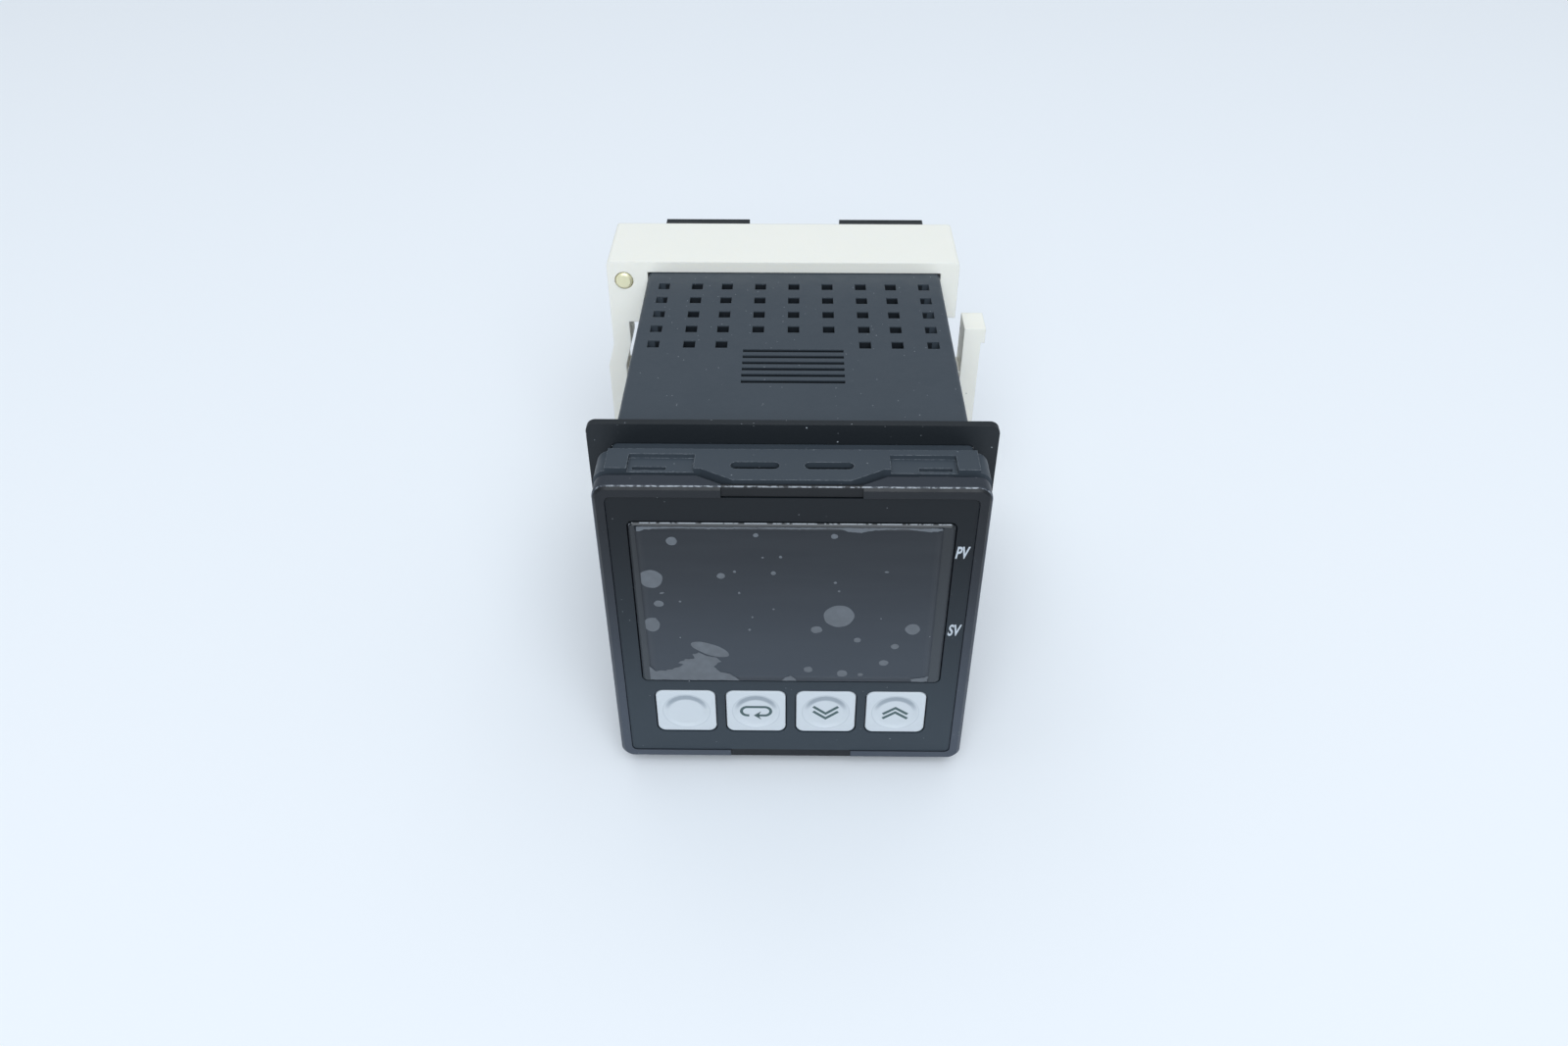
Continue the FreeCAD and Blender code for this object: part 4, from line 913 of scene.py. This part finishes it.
def solder_joints(shape, node, outward, columns, rows):
    """Rows of small solder cones on the outer face of a side board."""
    low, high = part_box(node)
    face = high.x if outward > 0 else low.x
    around = [2 * math.pi * step / 12 for step in range(12)]
    for row in range(rows):
        for column in range(columns):
            chance = noise.noise(Vector((row * 1.7, column * 2.3, outward)))
            if chance < -0.05:
                continue
            y = low.y + (high.y - low.y) * (column + 0.5) / columns
            z = low.z + (high.z - low.z) * (row + 0.5) / rows
            previous = None
            for radius, lift in ((0.75, 0.0), (0.5, 0.18), (0.28, 0.42), (0.2, 0.75)):
                ring = ring_of(shape, [(face + outward * lift * MM, y + radius * MM * math.cos(angle),
                                        z + radius * MM * math.sin(angle)) for angle in around])
                if previous:
                    bridge(shape, previous, ring)
                previous = ring
            fan(shape, previous, (face + outward * 0.8 * MM, y, z))


class CONTROLLER_OT_boards(bpy.types.Operator):
    """Gives the boards, displays, relays and the other parts inside the case their finishes"""
    bl_idname = "controller.boards"
    bl_label = "Boards and parts"

    def execute(self, context):
        looks = context.scene.controller_boards
        mask = Finish("solder_mask", looks.mask, 0.3)
        tracks = mask.node("ShaderNodeTexBrick", {"offset": 0.37, "squash": 0.6}, Vector=mask.place,
                           Scale=170.0, Mortar_Size=0.09)
        traced = mask.node("ShaderNodeSeparateColor", Color=tracks.outputs["Color"]).outputs["Red"]
        mask.mix_colour(tint("#2C7A52"), traced, 0.6)
        mask.mix_colour(looks.solder, mask.spots(2.5 * MM, 0.35 * MM, 0.5))
        dress(mask, "display_board", "main_board", "power_board")
        solder = Finish("solder", looks.solder, 0.28, 0.9)
        solder.mix_roughness(solder.clouds(0.8 * MM), 0.45)
        for node, side in (("main_board", 1), ("power_board", -1)):
            new_piece(f"{node}_joints", lambda shape: solder_joints(shape, node, side, 16, 11), solder,
                      "mechanism")

        relay = Finish("relay_case", looks.relay, 0.36)
        relay.soften(0.25 * MM)
        relay.mix_colour(tint("#35508F"), relay.clouds(5 * MM, 2.0), 0.4)
        dress(relay, "output_relay", "alarm_relay")

        for name, node in (("capacitor_sleeve", "filter_capacitor"),
                           ("small_capacitor_sleeve", "smoothing_capacitors")):
            sleeve = Finish(name, looks.sleeve, 0.28)
            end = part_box(node)[1].x - 0.1 * MM
            sleeve.mix_colour(looks.can, sleeve.sums("GREATER_THAN", sleeve.depth_along("X"), end))
            sleeve.soften(0.2 * MM)
            dress(sleeve, node)

        winding = Finish("transformer", looks.ferrite, 0.5)
        offset = winding.sums("SUBTRACT", winding.depth_along("Y"), middle("switching_transformer").y)
        outside = winding.sums("GREATER_THAN", winding.sums("ABSOLUTE", offset), 2.6 * MM)
        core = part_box("switching_transformer")[0].x + 3.6 * MM
        above = winding.sums("GREATER_THAN", winding.depth_along("X"), core)
        winding.mix_colour(looks.tape, outside, above)
        wires = winding.node("ShaderNodeTexWave", {"bands_direction": "X"}, Vector=winding.place,
                             Scale=450.0)
        winding.relief(winding.product(wires.outputs["Fac"], outside), 0.05 * MM, 0.4)
        dress(winding, "switching_transformer")

        package = Finish("chip_package", looks.package, 0.5)
        package.relief(package.clouds(0.2 * MM, 2.0), 0.01 * MM, 0.5)
        dress(package, "rectifier_bridge")
        leads_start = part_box("main_board")[0].x - 0.32 * MM
        for name in ("processor_chip", "memory_chip"):
            chip = Finish(f"{name}_package", looks.package, 0.5)
            leads = chip.sums("GREATER_THAN", chip.depth_along("X"), leads_start)
            chip.mix_colour(looks.solder, leads)
            chip.relief(chip.clouds(0.2 * MM, 2.0), 0.01 * MM, 0.5)
            dress(chip, name)

        for name in ("process_display", "setpoint_display"):
            display = Finish(f"{name}_face", tint("#2E3134"), 0.35)
            sunk = display.sums("GREATER_THAN", display.depth_along("Y"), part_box(name)[0].y + 0.15 * MM)
            facing = display.sums("LESS_THAN", display.facing("Y"), -0.5)
            display.mix_colour(looks.segment, sunk, facing)
            dress(display, name)
        lamp = Finish("lamp_lens", looks.lamp, 0.2)
        lamp.shader.inputs["Transmission Weight"].default_value = 0.3
        lamp.mix_colour(tint("#C4705F"), lamp.clouds(0.8 * MM), 0.4)
        dress(lamp, "indicator_lamps")
        dress(black_plastic("pin_strip", "#1B1B1D", 0.45), "board_connectors")
        return {"FINISHED"}


# ---- studio ---------------------------------------------------------------------------------------

def backdrop_light(looks):
    world = bpy.data.worlds.new("surroundings")
    bpy.context.scene.world = world
    world.use_nodes = True
    tree = world.node_tree
    background = tree.nodes["Background"]
    background.inputs["Color"].default_value = (*looks.sky, 1.0)
    seen = tree.nodes.new("ShaderNodeLightPath").outputs["Is Camera Ray"]
    strength = tree.nodes.new("ShaderNodeMapRange")
    strength.inputs["To Min"].default_value = looks.ambient
    strength.inputs["To Max"].default_value = looks.backdrop
    tree.links.new(seen, strength.inputs["Value"])
    tree.links.new(strength.outputs["Result"], background.inputs["Strength"])


def soft_light(name, width, power, target, away):
    lamp = bpy.data.lights.new(name, "AREA")
    lamp.shape = "SQUARE"
    lamp.size = width
    lamp.energy = power
    lamp.color = bpy.context.scene.controller_studio.lamp
    light = bpy.data.objects.new(name, lamp)
    bpy.context.scene.collection.objects.link(light)
    light.location = target + away
    light.rotation_euler = (-away).to_track_quat("-Z", "Y").to_euler()


def floor_sheet(shape, size, steps=24):
    """A wide flat sheet, divided so that its far part can curve up."""
    rows = []
    for row in range(steps + 1):
        across = -size + 2 * size * row / steps
        rise = max(0.0, across - size * 0.55)
        height = rise * rise / size * 1.2
        rows.append([shape.verts.new((-size, across, height)), shape.verts.new((size, across, height))])
    for first, second in zip(rows, rows[1:]):
        shape.faces.new((first[0], first[1], second[1], second[0]))


class CONTROLLER_OT_studio(bpy.types.Operator):
    """Sets up the pale floor, the soft light and the camera"""
    bl_idname = "controller.studio"
    bl_label = "Studio"

    def execute(self, context):
        looks = context.scene.controller_studio
        scene = context.scene
        scene.view_settings.view_transform = "Standard"
        gasket_low, gasket_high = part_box("gasket")
        adapter_low, adapter_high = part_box("mounting_adapter")
        tilt = math.atan2(adapter_low.z - gasket_low.z, adapter_high.y - gasket_high.y)

        pale = Finish("pale_floor", looks.floor, 0.85)
        pale.mix_colour(tint("#E4ECF4"), pale.clouds(220 * MM, 2.0), 0.15)
        pale.shader.inputs["Specular IOR Level"].default_value = 0.2
        mesh = bpy.data.meshes.new("floor")
        shape = bmesh.new()
        floor_sheet(shape, 2.5)
        shape.to_mesh(mesh)
        shape.free()
        mesh.polygons.foreach_set("use_smooth", [True] * len(mesh.polygons))
        mesh.materials.append(pale.material)
        floor = bpy.data.objects.new("floor", mesh)
        scene.collection.objects.link(floor)
        floor.rotation_euler = (tilt, 0.0, 0.0)
        floor.location = (0.0, gasket_high.y, gasket_low.z - 0.02 * MM)
        floor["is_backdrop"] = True

        backdrop_light(looks)
        low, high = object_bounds()
        centre = (low + high) / 2
        soft_light("overhead", 1.6, looks.overhead, centre, Vector((0.0, 0.3, 1.3)))
        soft_light("front_fill", 1.7, looks.fill, centre, Vector((0.1, -1.35, 1.35)))

        cover_low, cover_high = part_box("front_cover")
        front = Vector(((cover_low.x + cover_high.x) / 2, cover_low.y, (cover_low.z + cover_high.z) / 2))
        camera = bpy.data.cameras.new("camera")
        camera.sensor_width = 36.0
        camera.lens = looks.lens
        camera.clip_start = 0.005
        viewer = bpy.data.objects.new("camera", camera)
        scene.collection.objects.link(viewer)
        viewer.location = front + Vector(looks.eye)
        viewer.rotation_euler = (math.pi / 2 - looks.pitch, 0.0, looks.yaw)
        scene.camera = viewer
        return {"FINISHED"}


STEPS = (
    CONTROLLER_OT_case, CONTROLLER_OT_window, CONTROLLER_OT_keys, CONTROLLER_OT_letters,
    CONTROLLER_OT_adapter, CONTROLLER_OT_terminals, CONTROLLER_OT_boards, CONTROLLER_OT_studio,
)


class CONTROLLER_PT_steps(bpy.types.Panel):
    """Lists the steps that dress the controller"""
    bl_idname = "CONTROLLER_PT_steps"
    bl_label = "Temperature controller"
    bl_space_type = "VIEW_3D"
    bl_region_type = "UI"
    bl_category = "Controller"

    def draw(self, context):
        for step in STEPS:
            self.layout.operator(step.bl_idname)


def register():
    for settings in SETTINGS.values():
        bpy.utils.register_class(settings)
    for name, settings in SETTINGS.items():
        setattr(bpy.types.Scene, name, bpy.props.PointerProperty(type=settings))
    for step in STEPS + (CONTROLLER_PT_steps,):
        bpy.utils.register_class(step)


def unregister():
    for step in reversed(STEPS + (CONTROLLER_PT_steps,)):
        bpy.utils.unregister_class(step)
    for name, settings in SETTINGS.items():
        delattr(bpy.types.Scene, name)
        bpy.utils.unregister_class(settings)


def main():
    register()
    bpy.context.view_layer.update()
    for step in STEPS:
        group, name = step.bl_idname.split(".")
        getattr(getattr(bpy.ops, group), name)()


if __name__ == "__main__":
    main()
